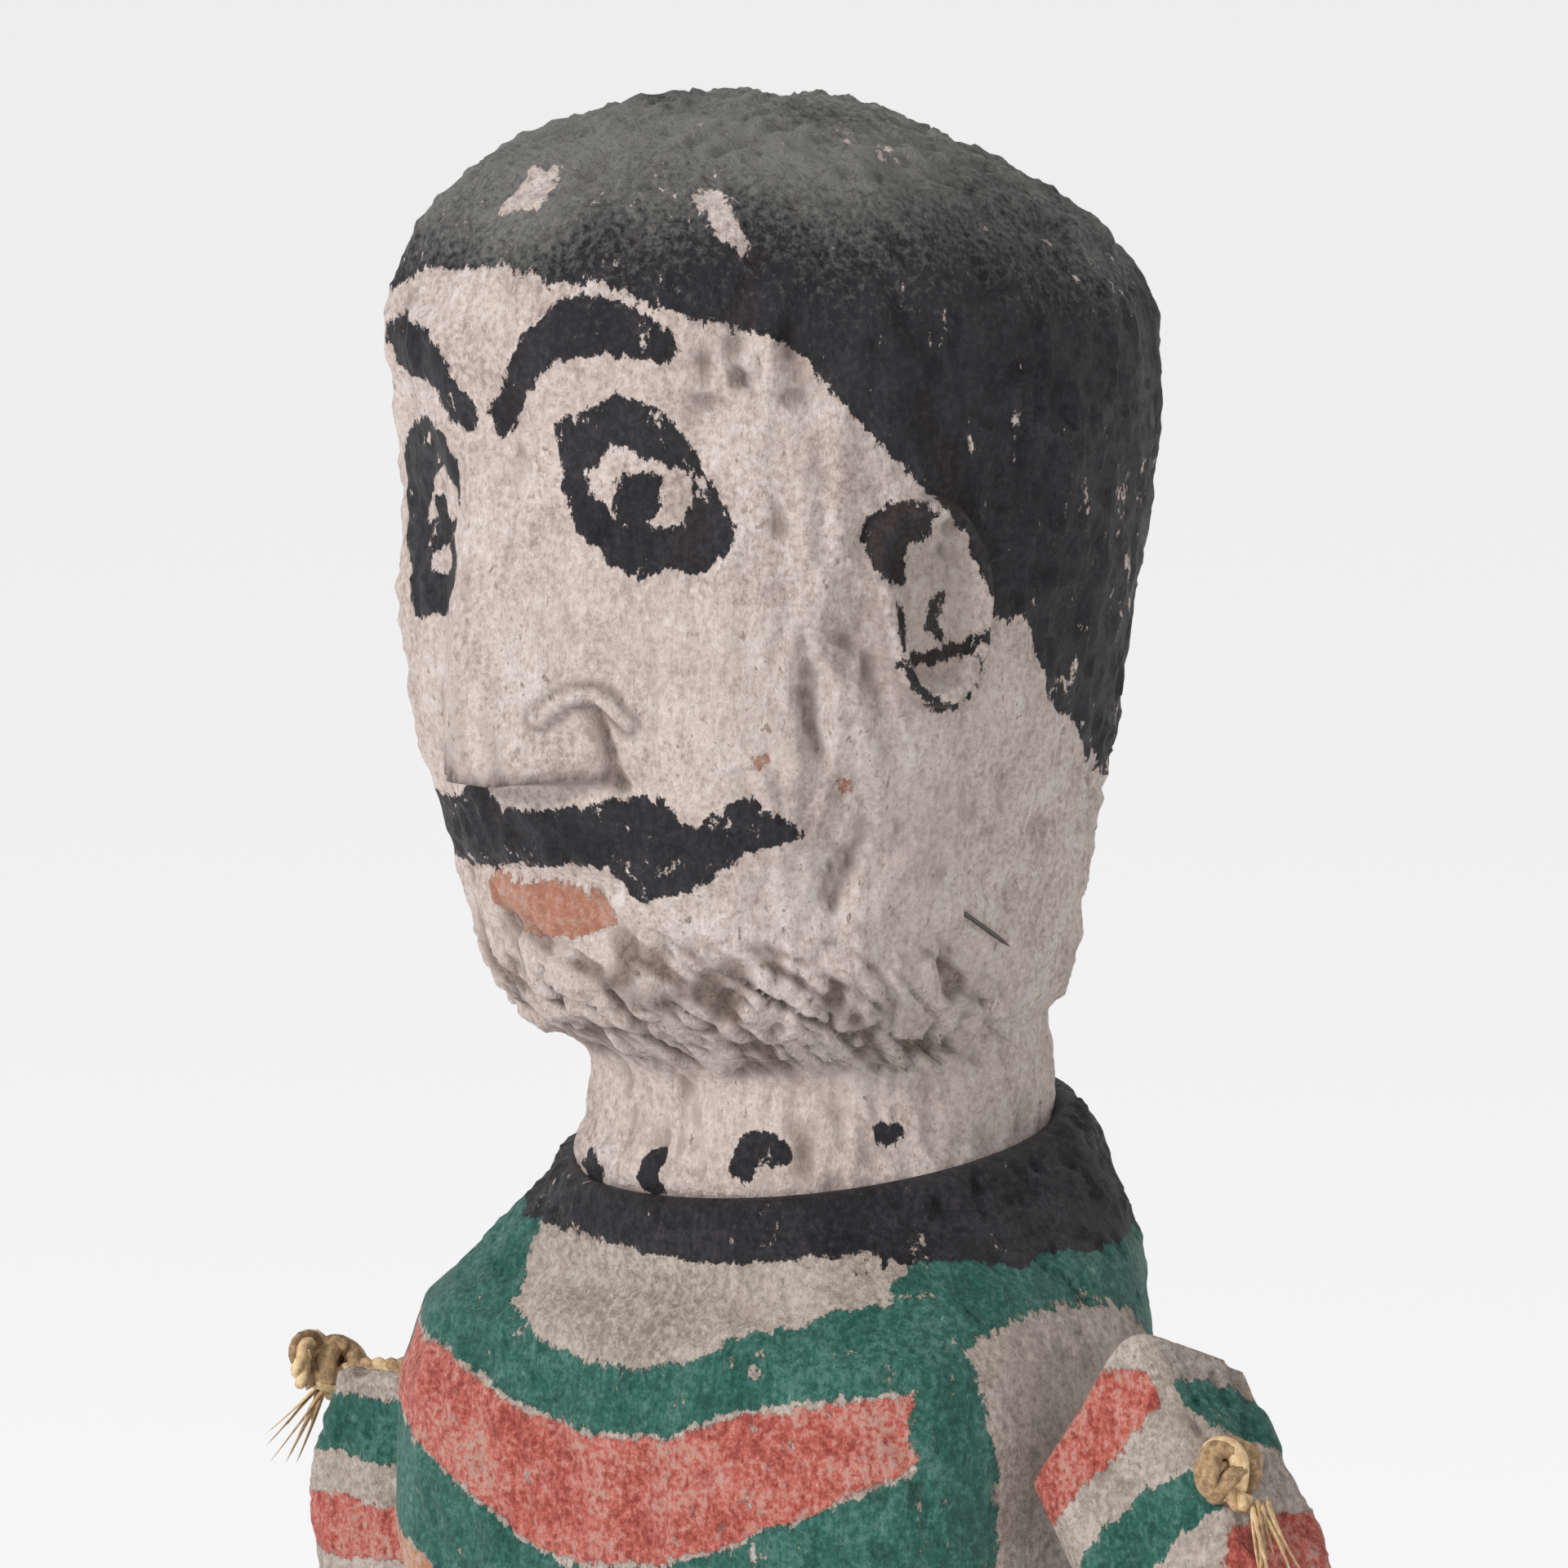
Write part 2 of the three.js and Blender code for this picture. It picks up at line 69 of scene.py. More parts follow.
# seeded noise, in millimetres, from -1 to 1
def lattice(cells, seed):
    n = cells[:, 0] * 73856093 ^ cells[:, 1] * 19349663 ^ cells[:, 2] * 83492791
    n = (n ^ (seed * 668265263 + 12345)) & 0x7FFFFFFF
    n = (n ^ (n >> 13)) * 1274126177 & 0x7FFFFFFF
    n = (n ^ (n >> 11)) * 668265263 & 0x7FFFFFFF
    return ((n ^ (n >> 15)) & 0xFFFF) / 32767.5 - 1.0


def noise(points, size, seed):
    spot = points / np.asarray(size, float) + seed * 7.31
    cell = np.floor(spot).astype(np.int64)
    part = spot - cell
    part = part * part * part * (part * (part * 6 - 15) + 10)
    total = np.zeros(len(points))
    for corner in range(8):
        step = np.array([corner & 1, corner >> 1 & 1, corner >> 2 & 1])
        weight = np.prod(np.where(step, part, 1 - part), axis=1)
        total += weight * lattice(cell + step, seed)
    return total


def layeredNoise(points, size, seed, layers=3):
    total = np.zeros(len(points))
    for layer in range(layers):
        total += noise(points, np.asarray(size, float) / 2 ** layer, seed + layer) / 2 ** layer
    return total / 1.6


def ridges(points, size, seed):
    return 1 - 2 * np.abs(noise(points, size, seed))


# torn and flaking surface: sharp little ridges, thicker than a brush stroke
def flaking(points, seed):
    bent = points + 0.9 * np.stack([noise(points, 3.4, seed + s) for s in range(3)], axis=1)
    coarse = ridges(bent, (3.4, 3.4, 6.5), seed + 3)
    medium = ridges(bent, (2.0, 2.0, 3.2), seed + 4)
    return 0.3 * coarse + 0.24 * medium + 0.14 * noise(bent, 1.5, seed + 5)


def smooth(low, high, value):
    t = np.clip((value - low) / (high - low), 0, 1)
    return t * t * (3 - 2 * t)


# a paint outline's few points made into a smooth line, in millimetres
def smoothLine(points, closed=False, steps=4):
    p = np.asarray(points, float)
    count = len(p)
    spans = count if closed else count - 1
    out = []
    for i in range(spans):
        a, b, c, d = (p[j % count] if closed else p[min(max(j, 0), count - 1)] for j in range(i - 1, i + 3))
        for k in range(steps):
            t = k / steps
            out.append(0.5 * (2 * b + (c - a) * t + (2 * a - 5 * b + 4 * c - d) * t ** 2
                              + (3 * b - a - 3 * c + d) * t ** 3))
    if not closed:
        out.append(p[-1])
    return np.array(out)


def lineDistance(spots, line):
    best = np.full(len(spots), 1e9)
    for a, b in zip(line[:-1], line[1:]):
        span = b - a
        t = np.clip(((spots - a) @ span) / max(span @ span, 1e-9), 0, 1)
        best = np.minimum(best, np.hypot(*(spots - a - t[:, None] * span).T))
    return best


# distance inside a closed painted patch, negative outside
def patch(spots, outline, steps=4):
    line = smoothLine(outline, closed=True, steps=steps)
    far = np.full(len(spots), -12.0)
    near = np.all((spots > line.min(0) - 8) & (spots < line.max(0) + 8), axis=1)
    some = spots[near]
    ring = np.vstack([line, line[:1]])
    inside = np.zeros(len(some), bool)
    for a, b in zip(ring[:-1], ring[1:]):
        crosses = (a[1] > some[:, 1]) != (b[1] > some[:, 1])
        at = a[0] + (some[:, 1] - a[1]) * (b[0] - a[0]) / (b[1] - a[1] + 1e-12)
        inside ^= crosses & (some[:, 0] < at)
    distance = lineDistance(some, ring)
    far[near] = np.where(inside, distance, -distance)
    return far


def stroke(spots, points, halfWidth):
    line = smoothLine(points)
    far = np.full(len(spots), -12.0)
    near = np.all((spots > line.min(0) - 8) & (spots < line.max(0) + 8), axis=1)
    far[near] = halfWidth - lineDistance(spots[near], line)
    return far


# a carved block: a sphere's rings led along a profile of level ovals
sectionKeys = ("z", "halfWidth", "front", "back", "power", "y", "tilt", "x")


def sectionTable(rows):
    full = []
    for row in rows:
        item = {"power": 2.0, "y": 0.0, "tilt": 0.0, "x": 0.0, **row}
        item.setdefault("back", item["front"])
        full.append([item[key] for key in sectionKeys])
    return np.array(full)


def carve(name, rows, segments, rings, smoothed=True):
    table = sectionTable(rows)
    fine = smoothLine(table, steps=8) if smoothed else table
    path = np.hypot(np.diff(fine[:, 0]), np.diff(fine[:, 2] + fine[:, 1]) * 0.5)
    path = np.concatenate([[0], np.cumsum(np.maximum(path, 1e-6))])
    bm = bmesh.new()
    bmesh.ops.create_uvsphere(bm, u_segments=segments, v_segments=rings, radius=1)
    mesh = bpy.data.meshes.new(name)
    bm.to_mesh(mesh)
    bm.free()
    unit = readPoints(mesh)
    along = 1 - np.arccos(np.clip(unit[:, 2], -1, 1)) / math.pi
    values = {key: np.interp(along * path[-1], path, fine[:, i]) for i, key in enumerate(sectionKeys)}
    flat = np.hypot(unit[:, 0], unit[:, 1])
    pole = flat < 1e-6
    across = np.where(pole, 0, unit[:, 0] / np.maximum(flat, 1e-9))
    ahead = np.where(pole, 0, unit[:, 1] / np.maximum(flat, 1e-9))
    power = values["power"]
    size = (np.abs(across) ** power + np.abs(ahead) ** power + pole) ** (-1 / power)
    depth = np.where(ahead < 0, values["front"], values["back"])
    x = values["x"] + across * size * values["halfWidth"]
    y = values["y"] + ahead * size * depth
    points = np.stack([x, y, values["z"] + values["tilt"] * y], axis=1)
    return mesh, points


def readPoints(mesh):
    flat = np.zeros(len(mesh.vertices) * 3)
    mesh.vertices.foreach_get("co", flat)
    return flat.reshape(-1, 3)


def writePoints(mesh, points):
    mesh.vertices.foreach_set("co", (points * mm).ravel())
    mesh.update()


def normals(mesh):
    flat = np.zeros(len(mesh.vertices) * 3, np.float32)
    mesh.vertex_normals.foreach_get("vector", flat)
    return flat.reshape(-1, 3).astype(float)


def writeValues(mesh, name, values):
    layer = mesh.attributes.get(name) or mesh.attributes.new(name, "FLOAT", "POINT")
    layer.data.foreach_set("value", np.asarray(values, np.float32))


def place(name, mesh, material, slot, body, *nodes):
    piece = bpy.data.objects.new(name, mesh)
    bpy.context.scene.collection.objects.link(piece)
    mesh.polygons.foreach_set("use_smooth", [True] * len(mesh.polygons))
    mesh.materials.append(material)
    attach(piece, body)
    if nodes:
        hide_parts(*nodes)
    return piece


# adds one node, with its settings; an input is a number, a colour or another node's output
def addNode(tree, kind, inputs, output=0, stops=(), **settings):
    node = tree.nodes.new(f"ShaderNode{kind}")
    for key, value in settings.items():
        setattr(node, key, value)
    for key, value in inputs.items():
        if isinstance(value, bpy.types.NodeSocket):
            tree.links.new(value, node.inputs[key])
        else:
            node.inputs[key].default_value = srgb(value) if isinstance(value, str) else value
    for i, (at, colour) in enumerate(stops):
        if i == 0:
            node.color_ramp.elements.remove(node.color_ramp.elements[-1])
        element = node.color_ramp.elements.new(at) if i else node.color_ramp.elements[0]
        element.position = at
        element.color = srgb(colour)
    return node.outputs[output]


def newMaterial(name, **finish):
    material = bpy.data.materials.new(name)
    material.use_nodes = True
    tree = material.node_tree
    tree.nodes.clear()
    output = tree.nodes.new("ShaderNodeOutputMaterial")
    shader = tree.nodes.new("ShaderNodeBsdfPrincipled")
    tree.links.new(shader.outputs[0], output.inputs[0])
    for key, value in finish.items():
        key = key.replace("_", " ")
        shader.inputs[key].default_value = srgb(value) if isinstance(value, str) else value
    return material, tree, shader


# joins a colour, a roughness and a bump to a shader, where they are given
def finishShader(tree, shader, colour, height, depth, strength=1.0, rough=None):
    tree.links.new(colour, shader.inputs["Base Color"])
    if rough is not None:
        tree.links.new(rough, shader.inputs["Roughness"])
    bump = addNode(tree, "Bump", {"Height": height, "Strength": strength, "Distance": depth * mm})
    tree.links.new(bump, shader.inputs["Normal"])


# Brushed distemper on rough carved softwood: chalky, dry, uneven, with dirt in the cuts.
# Each layer is a paint that lies over the ground where its attribute is above zero.
paints = {
    "ground": ("#A4928A", "#D4C3BB", "#EADFD9"),
    "groundDirt": "#7C6555",
    "warm": "#D8C6BC",
    "speckle": "#8E7A6C",
    "black": ("#1D1B1E", "#2A282C", "#3D3A3D"),
    "blackDust": "#8A8984",
    # dirty marks, and painted shade on the head
    "stainAndShade": "#5B4A3F",
    # grime together with painted shade, for the hollows
    "hollowGrimeAndShade": "#43362E",
    "green": ("#1F4F46", "#31685B", "#568276"),
    # painted highlight on the green paint's scratches
    "greenScratchHighlight": "#86BDAC",
    "red": ("#964338", "#C8695C", "#D79787"),
    "lips": ("#A8705C", "#BF836C", "#CBA593"),
    "orange": ("#B07A5E", "#C68F72", "#D6B5A0"),
    "bare": ("#8A7D72", "#B0A297", "#CDC1B7"),
}


# grain in millimetres, detail and roughness of each noise, and the way it runs
paintGrains = {
    "grit": (0.9, 6, 0.7, "level", 0.0),         # paint grit
    "fibre": (1.1, 5, 0.65, "upright", 0.6),     # wood fibre under the paint
    "cloudy": (9.0, 4, 0.6, "level", 0.0),       # brush-load clouds
    "broad": (28.0, 3, 0.6, "level", 0.0),       # hand-sized soiling
    "dots": (0.9, 3, 0.6, "softly", 0.0),
    "lumps": (2.3, 5, 0.68, "softly", 0.0),
    "ragged": (1.5, 5, 0.75, "softly", 0.0),     # paint edges
    "chips": (2.6, 5, 0.72, "softly", 0.0),
    "scratch": (1.6, 6, 0.75, "upright", 0.0),
}


def paintedWood(name, layers, fibreLength=5.0, ground="ground"):
    material, tree, shader = newMaterial(name, Specular_IOR_Level=0.28)
    spot = addNode(tree, "TexCoord", {}, "Object")
    ways = {"level": spot}
    for way, stretch in (("upright", 1 / fibreLength), ("softly", 0.62)):
        ways[way] = addNode(tree, "Mapping", {"Vector": spot, "Scale": (1, 1, stretch)})
    grain = {}
    for key, (size, detail, rough, way, bend) in paintGrains.items():
        grain[key] = addNode(tree, "TexNoise", {
            "Vector": ways[way],
            "Scale": 1 / (size * mm),
            "Detail": detail,
            "Roughness": rough,
            "Distortion": bend,
        })
    values = {}
    for key in (*layers, "relief", "wear", "dust", "stainAndShade"):
        values[key] = addNode(tree, "Attribute", {}, "Fac", attribute_name=key)
    grit, fibreGrain, cloudy = grain["grit"], grain["fibre"], grain["cloudy"]

    tone = 0.0
    for source, share in ((cloudy, 0.25), (fibreGrain, 0.2), (grit, 0.55)):
        tone = addNode(tree, "Math", {0: source, 1: share, 2: tone}, operation="MULTIPLY_ADD")
    spread = (0.42, 0.5, 0.58) if ground == "bare" else (0.39, 0.5, 0.6)
    colour = addNode(tree, "ValToRGB", {"Fac": tone}, stops=zip(spread, paints[ground]))
    share = addNode(tree, "MapRange", {
        "Value": grain["broad"], "From Min": 0.35, "From Max": 0.7, "To Max": 0.35})
    colour = addNode(tree, "Mix", {0: share, 6: colour, 7: paints["warm"]}, 2, data_type="RGBA")
    # dirt that stays in the cuts, and dark specks of grit
    low = addNode(tree, "MapRange", {"Value": values["relief"], "From Min": -0.15, "From Max": -1.3})
    dirt = addNode(tree, "MapRange", {"Value": grit, "From Min": 0.35, "From Max": 0.55, "To Max": 0.75})
    share = addNode(tree, "Math", {0: low, 1: dirt}, operation="MULTIPLY")
    colour = addNode(tree, "Mix", {0: share, 6: colour, 7: paints["groundDirt"]}, 2, data_type="RGBA")
    dots = addNode(tree, "MapRange", {
        "Value": grain["dots"], "From Min": 0.62, "From Max": 0.68, "To Max": 0.8})
    where = addNode(tree, "MapRange", {"Value": cloudy, "From Min": 0.42, "From Max": 0.6})
    share = addNode(tree, "Math", {0: dots, 1: where}, operation="MULTIPLY")
    colour = addNode(tree, "Mix", {0: share, 6: colour, 7: paints["speckle"]}, 2, data_type="RGBA")
    rough = addNode(tree, "MapRange", {
        "Value": grit, "From Min": 0.3, "From Max": 0.7, "To Min": 0.72, "To Max": 0.92})
    gloss = addNode(tree, "MapRange", {
        "Value": cloudy, "From Min": 0.35, "From Max": 0.65, "To Min": 0.42, "To Max": 0.62})
    height = 0.0
    for source, share in ((grit, 0.65), (fibreGrain, 0.25), (grain["lumps"], 0.7)):
        height = addNode(tree, "Math", {0: source, 1: share, 2: height}, operation="MULTIPLY_ADD")
    ragged = addNode(tree, "Math", {0: grain["ragged"], 1: 4.6, 2: -2.3}, operation="MULTIPLY_ADD")
    chipped = addNode(tree, "Math", {0: grain["chips"], 1: values["wear"]}, operation="ADD")
    chipped = addNode(tree, "MapRange", {
        "Value": chipped, "From Min": 0.72, "From Max": 0.75, "To Min": 1.0, "To Max": 0.0})

    for key in layers:
        edge = addNode(tree, "Math", {0: values[key], 1: ragged}, operation="ADD")
        cover = addNode(tree, "MapRange", {"Value": edge, "From Min": -0.05, "From Max": 0.1})
        cover = addNode(tree, "Math", {0: cover, 1: chipped}, operation="MULTIPLY")
        paint = addNode(tree, "ValToRGB", {"Fac": tone}, stops=zip(spread, paints[key]))
        # black goes dusty, green is scratched with a painted highlight on its scratches, and the other paints
        # are thin and show the wood
        if key == "black":
            over = paints["blackDust"]
            share = addNode(tree, "Math", {0: grit, 1: 1.6, 2: values["dust"]}, operation="MULTIPLY_ADD")
            share = addNode(tree, "MapRange", {
                "Value": share, "From Min": 1.1, "From Max": 1.75, "To Max": 0.85})
        elif key == "green":
            # the scratches are painted a lighter teal as a painted highlight
            over = paints["greenScratchHighlight"]
            line = addNode(tree, "MapRange", {
                "Value": grain["scratch"], "From Min": 0.6, "From Max": 0.68, "To Max": 0.75})
            where = addNode(tree, "MapRange", {"Value": cloudy, "From Min": 0.5, "From Max": 0.6})
            share = addNode(tree, "Math", {0: line, 1: where}, operation="MULTIPLY")
        else:
            over = paints["bare"][1]
            share = addNode(tree, "Math", {0: cloudy, 1: 0.6, 2: grit}, operation="MULTIPLY_ADD")
            share = addNode(tree, "MapRange", {
                "Value": share, "From Min": 0.8, "From Max": 0.97, "To Max": 0.5})
        paint = addNode(tree, "Mix", {0: share, 6: paint, 7: over}, 2, data_type="RGBA")
        colour = addNode(tree, "Mix", {0: cover, 6: colour, 7: paint}, 2, data_type="RGBA")
        rough = addNode(tree, "Mix", {0: cover, 2: rough, 3: gloss})
        height = addNode(tree, "Math", {0: cover, 1: 0.25, 2: height}, operation="MULTIPLY_ADD")

    # grime and painted shade darken the hollows of every layer
    share = addNode(tree, "MapRange", {
        "Value": values["relief"], "From Min": -0.1, "From Max": -1.2, "To Max": 0.3})
    colour = addNode(tree, "Mix", {0: share, 6: colour, 7: paints["hollowGrimeAndShade"]}, 2, data_type="RGBA")
    # handling dirt and stains, with painted shade round the nose, curl and ear, that lies over every layer
    patchy = addNode(tree, "Math", {0: grit, 1: fibreGrain}, operation="ADD")
    patchy = addNode(tree, "MapRange", {"Value": patchy, "From Min": 0.75, "From Max": 1.1, "To Min": 0.35})
    share = addNode(tree, "Math", {0: values["stainAndShade"], 1: patchy}, operation="MULTIPLY")
    share = addNode(tree, "MapRange", {"Value": share, "From Min": 0.05, "To Max": 0.9})
    colour = addNode(tree, "Mix", {0: share, 6: colour, 7: paints["stainAndShade"]}, 2, data_type="RGBA")
    finishShader(tree, shader, colour, height, 2.0, rough=rough)
    return material


view = {
    "azimuth": 45.0,          # from the puppet's front left
    "elevation": 7.0,
    "distance": 1500.0,       # a long lens, so that little is foreshortened
    "frameWidth": 192.0,
    "aimAboveChin": 28.0,
    "shiftRight": 0.8,
}


def makeCamera():
    turn = math.radians(view["azimuth"])
    rise = math.radians(view["elevation"])
    away = Vector((math.sin(turn) * math.cos(rise), -math.cos(turn) * math.cos(rise), math.sin(rise)))
    right = Vector((math.cos(turn), math.sin(turn), 0))
    up = away.cross(right)
    aim = Vector((0, carving["headMiddle"], chin)) + up * view["aimAboveChin"]
    aim = aim + right * view["shiftRight"]
    data = bpy.data.cameras.new("camera")
    data.lens = data.sensor_width * view["distance"] / view["frameWidth"]
    data.clip_start = 0.05
    camera = bpy.data.objects.new("camera", data)
    camera.location = (aim + away * view["distance"]) * mm
    camera.rotation_euler = away.to_track_quat("Z", "Y").to_euler()
    bpy.context.scene.collection.objects.link(camera)
    bpy.context.scene.camera = camera


studio = {
    "floorColour": "#FAFAFA",
    "floorHalfWidth": 40.0,     # metres, so that no edge comes into view
    "floorGlow": 0.17,
    "skyColour": "#F2F2F3",
    "skyStrength": 0.8,
    "lightAim": (0, 0, 0.45),
    "lights": {                 # place in metres, size in metres and watts
        "keyLight": ((-0.25, -2.0, 1.4), 0.6, 41),
        "fillLight": ((1.9, -0.3, 1.1), 1.2, 6),
    },
}


def makeStage():
    bm = bmesh.new()
    bmesh.ops.create_grid(bm, x_segments=1, y_segments=1, size=studio["floorHalfWidth"])
    mesh = bpy.data.meshes.new("floor")
    bm.to_mesh(mesh)
    bm.free()
    floor = bpy.data.objects.new("floor", mesh)
    bpy.context.scene.collection.objects.link(floor)
    # matt white sweep, so the ground only catches soft shade
    material, _, _ = newMaterial("whiteSweep", Base_Color=studio["floorColour"], Roughness=0.9,
                                 Emission_Color=(1, 1, 1, 1), Emission_Strength=studio["floorGlow"])
    mesh.materials.append(material)
    world = bpy.data.worlds.new("softStudio")
    world.use_nodes = True
    world.node_tree.nodes["Background"].inputs[0].default_value = srgb(studio["skyColour"])
    world.node_tree.nodes["Background"].inputs[1].default_value = studio["skyStrength"]
    bpy.context.scene.world = world
    bpy.context.scene.view_settings.view_transform = "Standard"
    for name, (spot, size, power) in studio["lights"].items():
        data = bpy.data.lights.new(name, "AREA")
        data.size = size
        data.energy = power
        lamp = bpy.data.objects.new(name, data)
        lamp.location = spot
        lamp.rotation_euler = (Vector(spot) - Vector(studio["lightAim"])).to_track_quat("Z", "Y").to_euler()
        bpy.context.scene.collection.objects.link(lamp)
    print("camera, floor and light are set")


makeCamera()
makeStage()


# height above the chin, and degrees round the head from the middle of the face
headSections = (
    (0.0, 0.6, 0.73), (0.03, 0.7, 0.76), (0.07, 0.77, 0.78), (0.13, 0.8, 0.79), (0.22, 0.86, 0.82),
    (0.34, 0.925, 0.88), (0.46, 0.955, 0.93), (0.58, 0.98, 0.975), (0.7, 1.0, 1.0), (0.8, 0.99, 0.975),
    (0.87, 0.92, 0.87), (0.925, 0.8, 0.73), (0.965, 0.62, 0.55), (0.99, 0.36, 0.32), (1.0, 0.12, 0.1),
)
face = {
    "noseRoot": 74.0,
    "noseBase": 32.5,
    "noseReach": 8.0,
    "noseHalfWidth": 15.0,
    "ridgeHalfWidth": 4.0,
    "socketDepth": 1.7,
    "chiselDepth": 0.74,
    "chinGougeDepth": 1.6,
}

# outlines of the paint, as (degrees round the face, millimetres above the chin)
faceBlack = {
    "nearBrow": ((0, 78), (3, 79.5), (8, 86), (15, 90.7), (22, 91.2), (30, 89.2), (34.5, 86), (32, 83.8),
                 (24, 84.6), (15, 83.3), (8, 78.5), (3.5, 74.3)),
    "farBrow": ((-34, 84), (-28, 87.2), (-21, 87), (-11, 85), (-7, 80.5), (-3, 78), (-4, 74.5), (-9, 75.8),
                (-14, 79.8), (-22, 80)),
    "nearEye": ((14.5, 76), (20, 78), (25, 80), (31, 78.6), (35.5, 75), (38, 71), (42, 66), (42.5, 62.5),
                (37, 58.6), (33, 59.2), (26, 58), (20, 61.2), (16, 63.4), (14.5, 70)),
    "farEye": ((-34, 71), (-26, 74.6), (-16, 75), (-8.5, 70.5), (-8.5, 65), (-10.5, 62), (-7, 58),
               (-12, 52.4), (-19, 51.8), (-26, 51.2), (-32, 57.5), (-36, 65)),
    "moustache": ((-44, 26), (-40, 29), (-20, 29.2), (-14, 32.2), (-6, 29.6), (6, 29.4), (16, 30.6),
                  (24, 31.6), (30, 31.2), (35, 28.4), (43, 31.8), (49, 29.6), (53.5, 27), (44, 25),
                  (36, 21), (24, 18.7), (18, 22.7), (8, 22.6), (-6, 21.9), (-18, 20.6), (-40, 21)),
    "ear": ((62, 64.5), (66, 67), (70, 67), (72.5, 65), (72, 62.6), (69, 62), (68, 57.5), (66, 57.2),
            (63, 59.5)),
}
faceBare = {
    "nearEye": ((23.5, 74), (26, 73.2), (31, 71.6), (36, 70.6), (35.5, 66), (33, 63.8), (28.5, 64.3),
                (23, 65.3), (19.5, 67.6), (19, 70.2)),
    "farEye": ((-26, 62), (-23, 66.2), (-18, 69), (-11, 68.6), (-8.5, 65), (-12, 63.2), (-19, 63.6)),
    "farEyeLow": ((-21, 57), (-17, 60), (-12, 60), (-14, 56.8)),
}
hairChips = (
    ((-7, 101.4), (-4, 104.6), (1, 104), (3, 101.8), (-1, 100.2)),
    ((34, 103), (38, 102.6), (43, 99), (44, 96.8), (40, 98.6)),
)
facePupils = {
    "near": ((24, 69.6), (30.5, 70.2), (31, 67.6), (29, 64.2), (23.5, 64)),
    "far": ((-21, 65), (-16, 65.4), (-15.5, 60), (-20.5, 60.5)),
}
faceLips = ((-18, 17.5), (-13, 20.4), (-4, 19.4), (6, 20), (14, 19), (18.5, 17), (14, 14.6), (4, 13.3),
            (-7, 12.9), (-13, 14.8))
earLines = (
    ((68, 48), (71, 44.4), (76, 42), (81, 43), (82, 47)),
    ((67, 54.5), (68, 50.5)),
    ((74, 55.5), (73, 52.3), (75, 50.6)),
    ((70, 48), (76, 48.4), (84, 51)),
)
hairline = (
    (-180, 24), (-150, 26), (-122, 31), (-111, 36), (-100, 41), (-92, 50), (-84, 53.5), (-78, 62),
    (-66, 72), (-56, 82), (-45, 88), (-33, 90), (-24, 93), (-4, 93.5), (1, 94.5), (12, 92.5), (22, 93),
    (32, 90), (46, 87.3), (53, 85), (55, 82), (62, 75.5), (70, 69.5), (78, 62.5), (80, 58.5),
    (84, 53.5), (90, 50.5), (94, 51), (98, 45.5), (100, 41), (105, 37.5), (111, 36), (115, 32.5),
    (122, 32), (150, 26), (180, 24),
)


neckSmudges = (
    ((-4, -19), (-2, -15.2), (5, -13.6), (9, -15.4), (8, -18), (14, -19.2), (4, -21)),
    ((36, -13.6), (43, -11.4), (51, -12), (53, -14.4), (45, -15.6), (40, -17.6), (34, -17)),
    ((75, -11.2), (80, -9.8), (82, -12.2), (77, -13.4)),
    ((-40, -18), (-30, -16), (-24, -18.4), (-30, -21)),
)


def onSkin(outline):
    return [(angle * carving["perDegree"], height) for angle, height in outline]


